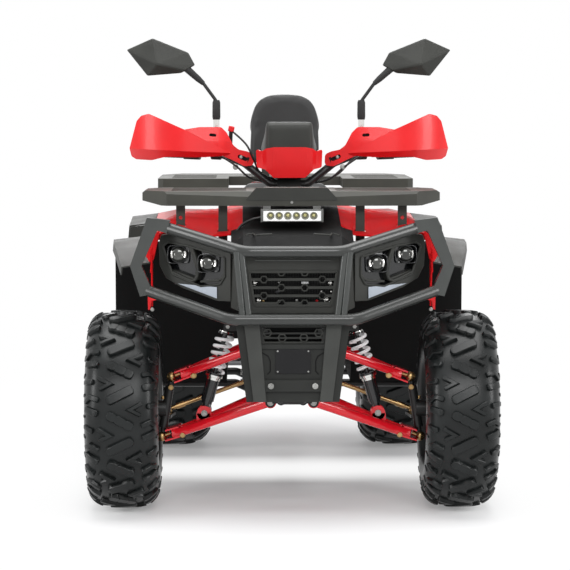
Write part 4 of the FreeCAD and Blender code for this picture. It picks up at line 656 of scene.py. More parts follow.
def endTree(tree, entry, geometry):
    # every tree ends in Realize Instances and Set Material
    real = addNode(tree, "GeometryNodeRealizeInstances", {"Geometry": geometry}).outputs["Geometry"]
    painted = addNode(tree, "GeometryNodeSetMaterial", {"Geometry": real, "Material": entry["Finish"]})
    addNode(tree, "NodeGroupOutput", {"Geometry": painted.outputs["Geometry"]})
    return tree


def copiesAt(tree, points, instance, **more):
    inputs = {"Points": points, "Instance": instance, **more}
    return addNode(tree, "GeometryNodeInstanceOnPoints", inputs).outputs["Instances"]


def scaledBy(tree, vector, share):
    return addNode(tree, "ShaderNodeVectorMath", {0: vector, "Scale": share}, operation="SCALE").outputs[0]


def makeRingTree():
    # repeats the piece round an axis through the origin
    tree, entry = newTree("ringRepeat", {"Count": "Int", "Axis": "Vector", "Start": "Float"})
    index = addNode(tree, "GeometryNodeInputIndex").outputs[0]
    step = addMath(tree, "DIVIDE", 2 * math.pi, entry["Count"])
    turn = addMath(tree, "MULTIPLY_ADD", index, step, entry["Start"])
    points = addNode(tree, "GeometryNodePoints", {"Count": entry["Count"]}).outputs[0]
    spun = scaledBy(tree, entry["Axis"], turn)
    return endTree(tree, entry, copiesAt(tree, points, entry["Geometry"], Rotation=spun))


def makeRowTree():
    # repeats the piece in a straight row
    tree, entry = newTree("rowRepeat", {"Count": "Int", "Step": "Vector"})
    place = scaledBy(tree, entry["Step"], addNode(tree, "GeometryNodeInputIndex").outputs[0])
    points = addNode(tree, "GeometryNodePoints", {"Count": entry["Count"], "Position": place}).outputs[0]
    return endTree(tree, entry, copiesAt(tree, points, entry["Geometry"]))


def makeHeadTree():
    # a washer and a head on every point, facing along its "aim"
    sizes = {part + size: "Float" for part in ("Head", "Washer") for size in (" radius", " height")}
    tree, entry = newTree("boltHeads", {**sizes, "Sides": "Int"})
    joined = addNode(tree, "GeometryNodeJoinGeometry")
    for part, sides, lift in (("Head", entry["Sides"], entry["Washer height"]), ("Washer", 20, 0.0)):
        height = entry[part + " height"]
        inputs = {"Vertices": sides, "Radius": entry[part + " radius"], "Depth": height}
        drum = addNode(tree, "GeometryNodeMeshCylinder", inputs).outputs["Mesh"]
        raised = addMath(tree, "ADD", addMath(tree, "MULTIPLY", height, 0.5), lift)
        up = addNode(tree, "ShaderNodeCombineXYZ", {"Z": raised}).outputs[0]
        moved = addNode(tree, "GeometryNodeTransform", {"Geometry": drum, "Translation": up})
        tree.links.new(moved.outputs["Geometry"], joined.inputs["Geometry"])
    stored = addNode(tree, "GeometryNodeInputNamedAttribute", {"Name": "aim"}, data_type="FLOAT_VECTOR")
    turn = addNode(tree, "FunctionNodeAlignRotationToVector", {"Vector": stored.outputs["Attribute"]}, axis="Z")
    heads = joined.outputs["Geometry"]
    return endTree(tree, entry, copiesAt(tree, entry["Geometry"], heads, Rotation=turn.outputs["Rotation"]))


def makeCoilTree():
    # a spring of round wire along +Z
    tree, entry = newTree("coilSpring", {"Turns": "Float", "Radius": "Float", "Length": "Float", "Wire": "Float"})
    helix = addNode(tree, "GeometryNodeCurveSpiral", {
        "Resolution": 36, "Rotations": entry["Turns"], "Height": entry["Length"],
        "Start Radius": entry["Radius"], "End Radius": entry["Radius"],
    }).outputs["Curve"]
    wire = addNode(tree, "GeometryNodeCurvePrimitiveCircle", {"Resolution": 14, "Radius": entry["Wire"]})
    inputs = {"Curve": helix, "Profile Curve": wire.outputs["Curve"], "Fill Caps": True}
    body = addNode(tree, "GeometryNodeCurveToMesh", inputs).outputs["Mesh"]
    smooth = addNode(tree, "GeometryNodeSetShadeSmooth", {"Geometry": body})
    return endTree(tree, entry, smooth.outputs["Geometry"])


def makeChainTree():
    # links along a closed path, wide and narrow in turn
    tree, entry = newTree("chainLinks", {"Links": "Int", "Wide link": "Object", "Narrow link": "Object"})
    path = addNode(tree, "GeometryNodeMeshToCurve", {"Mesh": entry["Geometry"]}).outputs["Curve"]
    even = addNode(tree, "GeometryNodeResampleCurve", {"Curve": path, "Count": entry["Links"]}).outputs["Curve"]
    points = addNode(tree, "GeometryNodeCurveToPoints", {"Curve": even}, mode="EVALUATED")
    turn = addNode(
        tree, "FunctionNodeAxesToRotation",
        {"Primary Axis": points.outputs["Tangent"], "Secondary Axis": (1.0, 0.0, 0.0)},
        primary_axis="Y", secondary_axis="X",
    )
    parity = addMath(tree, "MODULO", addNode(tree, "GeometryNodeInputIndex").outputs[0], 2.0)
    joined = addNode(tree, "GeometryNodeJoinGeometry")
    for label, wanted in (("Wide link", 0.0), ("Narrow link", 1.0)):
        link = addNode(tree, "GeometryNodeObjectInfo", {"Object": entry[label]}).outputs["Geometry"]
        pair = {"A": parity, "B": wanted}
        same = addNode(tree, "FunctionNodeCompare", pair, data_type="FLOAT", operation="EQUAL")
        more = {"Selection": same.outputs["Result"], "Rotation": turn.outputs["Rotation"]}
        tree.links.new(copiesAt(tree, points.outputs["Points"], link, **more), joined.inputs["Geometry"])
    return endTree(tree, entry, joined.outputs["Geometry"])


def runTree(piece, kind, finish, values):
    # runs the tree on the piece and keeps the result as a plain mesh
    tree = trees[kind]
    modifier = piece.modifiers.new(tree.name, "NODES")
    modifier.node_group = tree
    names = {s.name: s.identifier for s in tree.interface.items_tree if s.in_out == "INPUT"}
    for label, value in {**values, "Finish": materials[finish]}.items():
        modifier[names[label]] = value
    return settle(piece)


def addHeads(name, finish, points, aims, sizes):
    # sizes: radius and height of the head, radius and height of the washer, sides of the head
    mesh = bpy.data.meshes.new(name)
    mesh.from_pydata(points, [], [])
    stored = mesh.attributes.new("aim", "FLOAT_VECTOR", "POINT")
    for item, aim in zip(stored.data, aims):
        item.vector = Vector(aim).normalized()
    labels = ("Head radius", "Head height", "Washer radius", "Washer height", "Sides")
    return runTree(addObject(name, mesh, finish), "heads", finish, dict(zip(labels, sizes)))


trees = {
    "ring": makeRingTree(),
    "row": makeRowTree(),
    "heads": makeHeadTree(),
    "coil": makeCoilTree(),
    "chain": makeChainTree(),
}
print("quad bike: geometry trees built")

# Refined copies of the CAD nodes: merged, rounded along their edges and smoothly shaded

refineValues = {
    "merge": 2e-5,              # corners closer than this become one
    "flat": 0.8,                # edges that turn by fewer degrees are dissolved
    "roundFrom": 34.0,          # degrees from which an edge is rounded
    "turnedUp": 0.35,
    # guardLegs: the guard's leg fronts lie between these distances from the middle and get painted light
    "guardLegs": (0.078, 0.111),
}

# slots whose finish isn't called like the slot, and nodes with a finish of their own
finishOfSlot = {"tyre": "tyreRubber", "upholstery": "seatVinyl", "lamp_glass": "lampDark"}
finishOfNode = {
    "front_rack": "rackPlastic", "rear_rack": "rackPlastic",
    "bumper_uprights": "barBright", "front_cowl": "redDeep",
}

edgeRounding = {
    "default": 0.0012,
    "tank_cover": 0.010,
    "front_rack": 0.004,
    "rear_rack": 0.003,
    "nose_guard": 0.003,
    "front_cowl": 0.0018,
    "handguards": 0.0018,
    "instrument_pod": 0.012,
    "bumper_uprights": 0.002,
    "mirrors": 0.003,
    "engine": 0.004,
    "headlamps": 0.002,
    "rear_cowl": 0.0018,
}

foldAngle = {
    "front_cowl": 9.0,
    "rear_cowl": 9.0,
    "front_flares": 12.0,
    "rear_flares": 12.0,
    "side_covers": 12.0,
    "nose_cover": 10.0,
    "tank_cover": 16.0,
    "mirrors": 14.0,
    "front_rack": 12.0,
    "rear_rack": 12.0,
}

# faces further back than the first number, or turned up above the second, lie in the dark and are given painted
# shade, a near-black finish
shadedBehind = {"nose_cover": (-0.720, 0.700), "footwell_left": (-0.9, 9.0), "footwell_right": (-0.9, 9.0)}

modelledHere = {
    "front_arms", "instrument_pod", "mirrors", "seat", "chain",
    "front_tyre_left", "front_tyre_right", "rear_tyres", "springs", "handguards", "instrument_cowl",
    "headlamps", "grille", "backrest",
}


def refine(node):
    v = refineValues
    work = cadWork(node)
    bmesh.ops.dissolve_limit(work, angle_limit=math.radians(v["flat"]), verts=work.verts, edges=work.edges)
    slot = slotOfNode[node]
    finish = finishOfNode.get(node) or finishOfSlot.get(slot) or camel(slot)
    piece = meshPiece(node + "Fine", work, finish, foldAngle.get(node, 30.0))
    slots, polygons = piece.data.materials, piece.data.polygons
    if node in shadedBehind:
        back, top = shadedBehind[node]
        # painted shade on the faces that lie in the dark
        slots.append(materials["cavityBlack"])
        for polygon in polygons:
            turnedUp = polygon.normal.z > v["turnedUp"] and polygon.center.z > top
            polygon.material_index = 1 if polygon.center.y > back or turnedUp else 0
    # the guard's leg fronts get painted light, its other faces painted shade
    if node == "nose_guard":
        low, high = v["guardLegs"]
        slots.append(materials["guardFace"])
        slots.append(materials["guardShade"])
        for polygon in polygons:
            polygon.material_index = 1 if low < abs(polygon.center.x) < high else 2
    width = edgeRounding.get(node, edgeRounding["default"])
    bevelEdges(piece, width, 4 if width > 0.006 else 2, v["roundFrom"], True)
    attach(piece, bodyOfNode[node], slot, node)


for nodeName in frame["nodes"]:
    if nodeName not in modelledHere:
        refine(nodeName)
print("quad bike: CAD pieces refined")

# Tyres: a round carcass with a slanted tread, one pitch modelled and repeated round the wheel

tyreValues = {
    "crown": 0.2545,
    "pitches": 12,
    "lugHeight": 0.0112,
    "lugEdges": (0.0022, 0.0014, -0.003),       # draft, chamfer, and how deep a lug is sunk
    "lugEnds": ((0.34, 0.5), (0.22, 0.84)),     # reach past its end and width there, as shares of the width
    "lugStep": 0.010,
    "lowered": (0.55, 0.062, 0.05),             # share of the height lost, from where across, over how far
    "steps": 108,
    "ridges": ((0.0012, 0.186, 0.0016), (0.0016, 0.1435, 0.002)),   # rise, radius and width on the wall
    "frontHalf": 0.098,
    "rearHalf": 0.125,
    # across as a share of the half width, and radius, from the crown to the bead
    "profile": [
        (0.0, 0.2545), (0.26, 0.2541), (0.48, 0.2520), (0.67, 0.2465), (0.80, 0.2380), (0.90, 0.2250),
        (0.96, 0.2080), (0.985, 0.1890), (0.97, 0.1720), (0.91, 0.1580), (0.82, 0.1480), (0.735, 0.1420),
        (0.70, 0.1370), (0.66, 0.1320), (0.645, 0.1272),
    ],
    # (across, round) points in mm for the front half width, then width and height share
    "strips": [
        ([(-26, -13), (-17, -8.6)], 23, 1.0),
        ([(-6, -3), (8, 4)], 23, 1.0),
        ([(18, 9), (26, 13)], 23, 1.0),
        ([(-26, -13), (26, 13)], 21, 0.74),
        ([(-26, 79.6), (26, 53.6)], 23, 1.0),
        ([(-54, 22), (-26, 38), (-50, 50)], 9.5, 0.95),
        ([(54, 88.6), (26, 104.6), (50, 116.6)], 9.5, 0.95),
        ([(-62, -20), (-92, -30)], 17, 1.0),
        ([(-74, 28), (-102, 22)], 14, 0.9),
        ([(-58, 78), (-78, 70), (-96, 82)], 12, 0.95),
        ([(62, 46), (92, 36)], 17, 1.0),
        ([(74, 95), (102, 89)], 14, 0.9),
        ([(58, 12), (78, 4), (96, 16)], 12, 0.95),
        ([(-112, -8), (-126, -8)], 9, 0.5),
        ([(-112, 58), (-126, 58)], 9, 0.5),
        ([(112, -8), (126, -8)], 9, 0.5),
        ([(112, 58), (126, 58)], 9, 0.5),
    ],
}


def sectionPoint(line, u):
    # the place and outward normal at the arc length u from the crown, to either side
    left = abs(u)
    for a, b in zip(line, line[1:]):
        step = (b - a).length
        if left <= step:
            at = a + (b - a) * (left / step)
            break
        left -= step
    else:
        at, a, b = line[-1], line[-2], line[-1]
    ahead = (b - a).normalized()
    sign = 1.0 if u >= 0 else -1.0
    return at.x * sign, at.y, -ahead.y * sign, ahead.x


def onTyre(line, u, s, height):
    across, radius, outX, outR = sectionPoint(line, u)
    loss, start, span = tyreValues["lowered"]
    if height > 0:
        height *= 1.0 - loss * max(0.0, min(1.0, (abs(u) - start) / span))
    angle = s / tyreValues["crown"]
    far = radius + outR * height
    return Vector((across + outX * height, -far * math.cos(angle), -far * math.sin(angle)))


def stripStations(line, width):
    # centre, sideways direction and share of the width along a polyline with rounded ends
    ends = tyreValues["lugEnds"]
    line = [Vector(p) for p in line]
    stations = []
    for i, (a, b) in enumerate(zip(line, line[1:])):
        ahead = (b - a).normalized()
        side = Vector((-ahead.y, ahead.x))
        if i == 0:
            stations += [(a - ahead * width * reach, side, share) for reach, share in ends]
        else:
            before = (line[i] - line[i - 1]).normalized()
            mean = (Vector((-before.y, before.x)) + side).normalized()
            stations.append((a, mean / max(0.45, mean.dot(side)), 1.0))
        count = max(2, int((b - a).length / tyreValues["lugStep"]))
        stations += [(a + (b - a) * k / count, side, 1.0) for k in range(1 if i else 0, count)]
    stations.append((b, side, 1.0))
    return stations + [(b + ahead * width * reach, side, share) for reach, share in reversed(ends)]


def addStrip(work, place, line, width, height):
    draft, chamfer, sunk = tyreValues["lugEdges"]
    rings = []
    stations = stripStations(line, width)
    for i, (centre, side, share) in enumerate(stations):
        half = width / 2 * share
        top = height - (chamfer if i in (0, len(stations) - 1) else 0)
        section = [
            (-half - draft, sunk), (-half, top - chamfer), (chamfer - half, top),
            (half - chamfer, top), (half, top - chamfer), (half + draft, sunk),
        ]
        rings.append([place(centre + side * across, level) for across, level in section])
    loft(work, rings)


def addCarcass(work, line):
    outline = []
    for across, radius in [(-p.x, p.y) for p in reversed(line[1:])] + [(p.x, p.y) for p in line]:
        ridge = sum(rise * math.exp(-((radius - at) / width) ** 2) for rise, at, width in tyreValues["ridges"])
        outline.append((across + math.copysign(ridge, across), radius))
    turns = circle(1.0, tyreValues["steps"])
    loft(work, [[(across, radius * a, radius * b) for across, radius in outline] for a, b in turns], closed=True)


def tyreMesh(half):
    v = tyreValues
    points = [Vector((x * half, r)) for x, r in v["profile"]]
    line = spline(points, 4, Vector((-points[1].x, points[1].y)))
    scale = half / v["frontHalf"]

    def place(point, level):
        return onTyre(line, point.x * scale, point.y, level)

    pitch = bmesh.new()
    for points, width, share in v["strips"]:
        addStrip(pitch, place, metres(points), width / 1000, v["lugHeight"] * share)
    tread = addObject("treadPitch", asMesh("treadPitch", pitch), "tyreRubber")
    runTree(tread, "ring", "tyreRubber", {"Count": v["pitches"], "Axis": (1.0, 0.0, 0.0), "Start": 0.0})
    work = bmesh.new()
    addCarcass(work, line)
    work.from_mesh(tread.data)
    bpy.data.objects.remove(tread)
    for vert in work.verts:
        vert.co.x = max(-half, min(half, vert.co.x))
    return work


def addTyre(name, body, node, half, centres):
    plain = asMesh(name, tyreMesh(half))
    work = bmesh.new()
    for centre in centres:
        before = len(work.verts)
        work.from_mesh(plain)
        work.verts.ensure_lookup_table()
        bmesh.ops.translate(work, verts=work.verts[before:], vec=centre)
    addPiece(name, work, "tyreRubber", "tyre", node, body=body, fold=38.0)


def middleOf(node):
    low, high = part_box(node)
    return Vector([(a + b) / 2 for a, b in zip(low, high)])


for side in ("left", "right"):
    node = "front_tyre_" + side
    addTyre(camel(node), "front_wheel_" + side, node, tyreValues["frontHalf"], [middleOf(node)])
rearMiddle = middleOf("rear_tyres")
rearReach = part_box("rear_tyres")[1][0] - tyreValues["rearHalf"]
rearCentres = [Vector((side * rearReach, rearMiddle.y, rearMiddle.z)) for side in (1, -1)]
addTyre("rearTyres", "rear_wheels", "rear_tyres", tyreValues["rearHalf"], rearCentres)
print("quad bike: tyres done")

# Springs: white front coils and the rear one

springValues = {
    "frontFoot": (0.2335, -0.590, 0.262),
    "frontTop": (0.170, -0.590, 0.489),
    "frontSpan": (0.45, 0.905),
    "front": (0.0215, 0.0045, -5.2),    # radius, wire, turns
    "rearFoot": (0.0, 0.505, 0.345),
    "rearTop": (0.0, 0.350, 0.632),
    "rearFree": (0.096, 0.034),         # left bare at the foot and at the top
    "rear": (0.0255, 0.0056, 6.5),
}


def addCoil(whole, start, end, radius, wire, turns):
    piece = addObject("coil", bpy.data.meshes.new("coil"), "springPaint")
    axis = end - start
    values = {"Turns": abs(turns), "Radius": radius, "Length": axis.length - 2 * wire, "Wire": wire}
    runTree(piece, "coil", "springPaint", values)
    turn = Vector((0, 0, 1)).rotation_difference(axis).to_matrix().to_4x4()
    hand = Matrix.Diagonal((1.0, -1.0 if turns < 0 else 1.0, 1.0, 1.0))
    piece.data.transform(Matrix.Translation(start + axis.normalized() * wire) @ turn @ hand)
    part = bmesh.new()
    part.from_mesh(piece.data)
    if turns < 0:
        bmesh.ops.reverse_faces(part, faces=part.faces)
    bpy.data.objects.remove(piece)
    whole.from_mesh(asMesh("coilPart", part))


def addSprings():
    v = springValues
    whole = bmesh.new()
    for side in (1, -1):
        foot, top = (Vector((side * x, y, z)) for x, y, z in (v["frontFoot"], v["frontTop"]))
        start, end = (foot.lerp(top, share) for share in v["frontSpan"])
        addCoil(whole, start, end, *v["front"])
    foot, top = Vector(v["rearFoot"]), Vector(v["rearTop"])
    line = (top - foot).normalized()
    below, above = v["rearFree"]
    addCoil(whole, foot + line * below, top - line * above, *v["rear"])
    addPiece("coilSprings", whole, "springPaint", "spring_paint", "springs", fold=50.0)


addSprings()
print("quad bike: springs done")

# Handguards: a bowed blade with its lower rim turned under, and the arm behind it

guardValues = {
    "clamp": (0.0, -0.270, 0.860),
    "bow": [
        (0.095, -0.022), (0.140, -0.038), (0.190, -0.056), (0.290, -0.065), (0.345, -0.054), (0.393, -0.032),
        (0.425, -0.008), (0.452, 0.026),
    ],
    "blade": [
        (392, 197), (414, 191), (427, 176), (448, 100), (443, 77), (430, 69), (384, 67), (345, 77), (240, 76),
        (180, 80), (160, 86), (289, 152),
    ],
    "bladeRadii": [14, 14, 14, 8, 8, 8, 30, 30, 10, 10, 4, 60],
    "arm": [
        (300, 152), (250, 160), (190, 160), (174, 144), (156, 109), (141, 97), (118, 92), (100, 84), (99, 52),
        (124, 50), (158, 68), (190, 82), (300, 100),
    ],
    "armRadii": [4, 30, 12, 14, 20, 14, 14, 14, 14, 14, 20, 20, 4],
    "holes": [((130, 74), 9, 5.6, 24), ((213, 138), 6, 4.2, 4)],
    "cutStep": 0.0145,
    "bladeCuts": (0.160, 19),
    "armCuts": (0.100, 13),
    "crease": ((0.165, 0.088), (0.450, 0.100)),
    "under": 0.95,
    "over": 0.10,
    "bladeOut": 0.004,
    "armBack": 0.007,
    "armCrease": 0.12,
    "armTop": 0.25,
    "wall": (0.0042, 0.0014),
}


def addHandguards():
    v = guardValues
    (x0, z0), (x1, z1) = v["crease"]
    z = v["armCrease"]

    def bladeDepth(x, z):
        above = z - (z0 + (z1 - z0) * (x - x0) / (x1 - x0))
        return along(v["bow"], x) - v["bladeOut"] + max(0.0, -above) * v["under"] + max(0.0, above) * v["over"]

    def armDepth(x, z):
        return along(v["bow"], x) + v["armBack"] + max(0.0, z - v["armCrease"]) * v["armTop"]

    holes = [metres(obround(*hole)) for hole in v["holes"]]
    for name, part, openings, crease, depth, nodes in (
        ("guardBlades", "blade", [], v["crease"], bladeDepth, ["handguards"]),
        ("guardArms", "arm", holes, ((0.09, z), (0.35, z)), armDepth, []),
    ):
        work = flatPanel(metres(roundCorners(v[part], v[part + "Radii"])), openings)
        start, count = v[part + "Cuts"]
        for k in range(1, count + 1):
            x = start + v["cutStep"] * k
            cutAlong(work, (x, 0.0), (x, 0.3))
        cutAlong(work, *crease)
        bendPanel(work, depth)
        bmesh.ops.translate(work, verts=work.verts, vec=v["clamp"])
        addPiece(
            name, work, "redPlastic", "red_plastic", *nodes,
            body="steering", fold=20.0, wall=v["wall"], mirrored=True,
        )


addHandguards()

# Instrument cowl: folded red panel in front of the pod

cowlValues = {
    "outline": [
        (-93, 98), (-76, 92), (-66, 100), (-44, 104), (44, 104), (66, 100), (76, 92), (93, 98), (91, 47),
        (68, 42), (44, 19), (-44, 19), (-68, 42), (-91, 47),
    ],
    "radii": [5, 8, 8, 20, 20, 8, 8, 5, 8, 10, 6, 6, 10, 8],
    "folds": [
        (-0.093, -0.022), (-0.074, -0.040), (-0.064, -0.055), (-0.046, -0.061), (0.046, -0.061),
        (0.064, -0.055), (0.074, -0.040), (0.093, -0.022),
    ],
    "belly": 0.044,
    "turnedUnder": 0.12,
    "wall": (0.004, 0.0016),
}


def addInstrumentCowl():
    v = cowlValues

    def depth(x, z):
        return straight(v["folds"], x) + max(0.0, v["belly"] - z) * v["turnedUnder"]

    work = flatPanel(metres(roundCorners(v["outline"], v["radii"])))
    for x, _ in v["folds"][1:-1]:
        cutAlong(work, (x, 0.0), (x, 0.2))
    cutAlong(work, (-0.2, v["belly"]), (0.2, v["belly"]))
    bendPanel(work, depth)
    bmesh.ops.translate(work, verts=work.verts, vec=guardValues["clamp"])
    addPiece(
        "cowlPanel", work, "redPlastic", "red_plastic", "instrument_cowl",
        body="steering", fold=12.0, wall=v["wall"],
    )


addInstrumentCowl()
print("quad bike: handguards and cowl done")

# Headlamps: dark housing, and in each chamber a projector lens in its shroud

lampValues = {
    "corner": (0.1603, -0.838),
    "sweep": 30.0,
    "recess": 0.020,
    "outline": [(176, 640), (188, 619), (238, 612), (312, 640), (338, 714), (324, 724), (272, 716), (176, 690)],
    "eyes": [(0.2175, 0.6725), (0.2965, 0.6930)],
    "shroud": [(-0.030, 0.024), (0.028, 0.024), (0.031, -0.024), (-0.027, -0.024)],
    "shroudRound": 0.012,
    "shroudHole": (0.92, 0.91),
    "lensRadius": 0.0205,
    # start and turn in degrees, radius, wire
    "glints": [
        (152, 56, 0.0180, 0.0040), (-28, 56, 0.0180, 0.0036),
        (168, 30, 0.0100, 0.0020), (-20, 34, 0.0098, 0.0016),
    ],
    # from, to, width
    "bars": [
        ((0.268, 0.722), (0.246, 0.655), 0.010), ((0.246, 0.655), (0.252, 0.628), 0.010),
        ((0.252, 0.628), (0.316, 0.650), 0.007), ((0.178, 0.643), (0.190, 0.630), 0.006),
        ((0.190, 0.630), (0.240, 0.624), 0.006),
    ],
    "wing": [(0.262, 0.716), (0.247, 0.668), (0.247, 0.640), (0.262, 0.626), (0.312, 0.646)],
}


def lampFace(x):
    cornerX, cornerY = lampValues["corner"]
    return cornerY + (x - cornerX) * math.tan(math.radians(lampValues["sweep"]))


def addHeadlamps():
    v = lampValues
    back = flatPanel(metres(v["outline"]))
    bendPanel(back, lambda x, z: lampFace(x) + v["recess"])
    addPiece("lampHousings", back, "lampDark", "lamp_glass", "headlamps", wall=(0.018, 0.001), mirrored=True)
    shrouds, bars, lenses, rings, glints = (bmesh.new() for _ in range(5))
    for x, z in v["eyes"]:
        y = lampFace(x) + v["recess"]
        outline = roundCorners([(x + a, z + b) for a, b in v["shroud"]], v["shroudRound"])
        shareX, shareZ = v["shroudHole"]
        shroud = flatPanel(outline, [[(mixed(x, a, shareX), mixed(z, b, shareZ)) for a, b in outline]])
        bendPanel(shroud, y - 0.020)
        shrouds.from_mesh(asMesh("shroud", shroud))
        addDome(lenses, (x, y - 0.010, z), v["lensRadius"], 0.011)
        addTorus(rings, (x, y - 0.011, z), v["lensRadius"] + 0.0012, 0.0017)
        for start, turn, radius, wire in v["glints"]:
            centre = (x, y - 0.0165 - (0.0185 - radius) * 0.18, z)
            addTorus(glints, centre, radius, wire, start, turn, 12, 10)
    for start, end, width in v["bars"]:
        corners = barCorners(start, end, width)
        bars.faces.new([bars.verts.new((p.x, lampFace(p.x) + 0.002, p.y)) for p in corners])
    turnFaces(bars.faces)
    for name, work, finish, slot, wall in (
        ("lampShrouds", shrouds, "lampDark", "lamp_glass", (0.020, 0.0012)),
        ("lampBars", bars, "blackPlastic", "black_plastic", (0.018, 0.0012)),
        ("lampLenses", lenses, "eyeGlass", "lamp_glass", None),
        ("lampRings", rings, "lampDark", "lamp_glass", None),
        ("lampGlints", glints, "brightSteel", "lamp_alloy", None),
    ):
        addPiece(name, work, finish, slot, wall=wall, mirrored=True)


addHeadlamps()
print("quad bike: headlamps done")

# Light bar: pale face with six lenses, each a bright bowl with a warm chip in it

lightBarValues = {
    "front": -0.738,
    "middle": 0.793,
    "half": (0.078, 0.0155),
    "rim": 0.0025,
    "pitch": 0.0226,
    "lens": 0.0094,
    "lensSides": 28,
    "count": 6,
    "bowl": ((0.97, -0.0070), (0.4365, -0.0012)),   # share of the lens, and depth, at its mouth and floor
}


def addRow(name, work, finish, slot, count, step, body="chassis"):
    piece = meshPiece(name, work, finish)
    runTree(piece, "row", finish, {"Count": count, "Step": tuple(step)})
    attach(piece, body, slot)


def addLightBar():
    v = lightBarValues
    y, z, pitch, lens, sides = v["front"], v["middle"], v["pitch"], v["lens"], v["lensSides"]
    firstX = -pitch * (v["count"] - 1) / 2

    def loopInside(rim):
        x, up = v["half"][0] - rim, v["half"][1] - rim
        return [(-x, z - up), (x, z - up), (x, z + up), (-x, z + up)]

    holes = [[(firstX + pitch * i + a, z + b) for a, b in circle(lens, sides)] for i in range(v["count"])]
    for name, outline, openings, lift, finish, wall in (
        ("lightBarRim", loopInside(0.0), [loopInside(v["rim"])], 0.009, "lampAlloy", (0.0088, 0.0008)),
        ("lightBarFace", loopInside(v["rim"]), holes, 0.0076, "whiteFace", (0.0012, 0.0002)),
    ):
        panel = flatPanel(outline, openings)
        bendPanel(panel, y - lift)
        addPiece(name, panel, finish, "lamp_alloy", wall=wall)
    bowl, chip, ring = bmesh.new(), bmesh.new(), bmesh.new()
    rings = [
        [(firstX + a, y + depth, z + b) for a, b in circle(lens * share, sides)] for share, depth in v["bowl"]
    ]
    floor = loft(bowl, rings, caps=(-1,))[0]
    for face in bowl.faces:
        face.normal_update()
    if floor.normal.y > 0:
        bmesh.ops.reverse_faces(bowl, faces=bowl.faces[:])
    addDome(chip, (firstX, y - 0.0014, z + 0.0012), 0.0046, 0.0036, 5, 18)
    addTorus(ring, (firstX, y - 0.0078, z), lens + 0.0003, 0.0005, steps=sides, sides=6)
    for name, work, finish in (
        ("lightBowls", bowl, "bowlGrey"), ("lightChips", chip, "warmGlass"), ("lightRings", ring, "boltSteel"),
    ):
        addRow(name, work, finish, "lamp_alloy", v["count"], (pitch, 0.0, 0.0))


addLightBar()
print("quad bike: light bar done")

# Grille: slats with hexagon rings astride them

grilleValues = {
    "front": -0.869,
    "deep": 0.009,
    "top": (0.1125, 0.6545),
    "foot": (0.0985, 0.5675),
    "slats": [0.6350, 0.6140, 0.5930, 0.5735],
    "slatWidth": 0.0072,
    "hexagons": [(0.075, 0.6350), (0.0300, 0.6140), (0.075, 0.5930), (0.0300, 0.5735), (0.0300, 0.6530)],
    "hexRadius": 0.0112,
    "hexWall": 0.0036,
}


def addGrille():
    v = grilleValues
    work = bmesh.new()
    y0, y1 = v["front"], v["front"] + v["deep"]
    (topX, topZ), (footX, footZ) = v["top"], v["foot"]
    corners = [(-topX, topZ), (topX, topZ), (footX, footZ), (-footX, footZ)]
    for a, b in zip(corners, corners[1:] + corners[:1]):
        addBar(work, a, b, y0 - 0.001, y1, 0.006)
    reach = v["hexRadius"] - 0.001
    for z in v["slats"]:
        half = mixed(footX, topX, (z - footZ) / (topZ - footZ))
        gaps = sorted(s * x for x, hexZ in v["hexagons"] for s in (-1, 1) if abs(hexZ - z) < 0.001)
        ends = [-half] + [e for x in gaps for e in (x - reach, x + reach)] + [half]
        for left, right in zip(ends[::2], ends[1::2]):
            addBar(work, (left, z), (right, z), y0, y1, v["slatWidth"])
    for x, z in v["hexagons"]:
        for side in (-1, 1):
            addHexRing(work, side * x, z, v["hexRadius"], v["hexWall"], y0, y1, topZ if z > 0.645 else None)
    bevelEdges(addPiece("grilleFace", work, "blackPlastic", "black_plastic", "grille"), 0.0007, 2, 40)


addGrille()
print("quad bike: grille done")

# Backrest: a padded cover swollen by a cloth simulation

padValues = {
    "voxel": 0.006,
    "smoothing": 14,
    "pressure": 4.0,
    "cap": 0.003,
    "grown": 0.002,
    "side": [
        (109, 900), (108, 960), (106, 1005), (101, 1045), (92, 1075),
        (76, 1095), (52, 1107), (26, 1111), (0, 1112),
    ],
}

clothValues = {"quality": 5, "stretch": 30.0, "bending": 4.0, "frames": 20}


def remeshed(name, work, voxel, smoothing):
    piece = addObject(name, asMesh(name, work))
    remesh = piece.modifiers.new("remesh", "REMESH")
    remesh.mode = "VOXEL"
    remesh.voxel_size = voxel
    smooth = piece.modifiers.new("smooth", "SMOOTH")
    smooth.factor = 0.5
    smooth.iterations = smoothing
    return settle(piece)


def swell(piece, pressure, cap):
    # cloth under air pressure, its movement capped
    start = [v.co.copy() for v in piece.data.vertices]
    cloth = piece.modifiers.new("cloth", "CLOTH")
    settings = cloth.settings
    settings.quality = clothValues["quality"]
    settings.use_pressure = True
    settings.uniform_pressure_force = pressure
    settings.effector_weights.gravity = 0.0
    settings.tension_stiffness = clothValues["stretch"]
    settings.compression_stiffness = clothValues["stretch"]
    settings.bending_stiffness = clothValues["bending"]
    cloth.point_cache.frame_start = 1
    cloth.point_cache.frame_end = clothValues["frames"]
    for number in range(1, clothValues["frames"] + 1):
        scene.frame_set(number)
    settle(piece)
    for vert, was in zip(piece.data.vertices, start):
        step = vert.co - was
        if step.length > cap:
            vert.co = was + step.normalized() * cap
    scene.frame_set(1)


def smoothSkin(piece, finish):
    for polygon in piece.data.polygons:
        polygon.use_smooth = True
    paint(piece, finish)


def addPad(name, node, work, v, near=None, far=None):
    # near and far hold the cover between two depths
    piece = remeshed(name, work, v["voxel"], v["smoothing"])
    swell(piece, v["pressure"], v["cap"])
    if near is not None:
        for vert in piece.data.vertices:
            vert.co.y = max(near, min(vert.co.y, far))
    smoothSkin(piece, "seatVinyl")
    fine = piece.modifiers.new("fine", "SUBSURF")
    fine.levels = fine.render_levels = 1
    attach(piece, "chassis", "upholstery", node)
    return piece


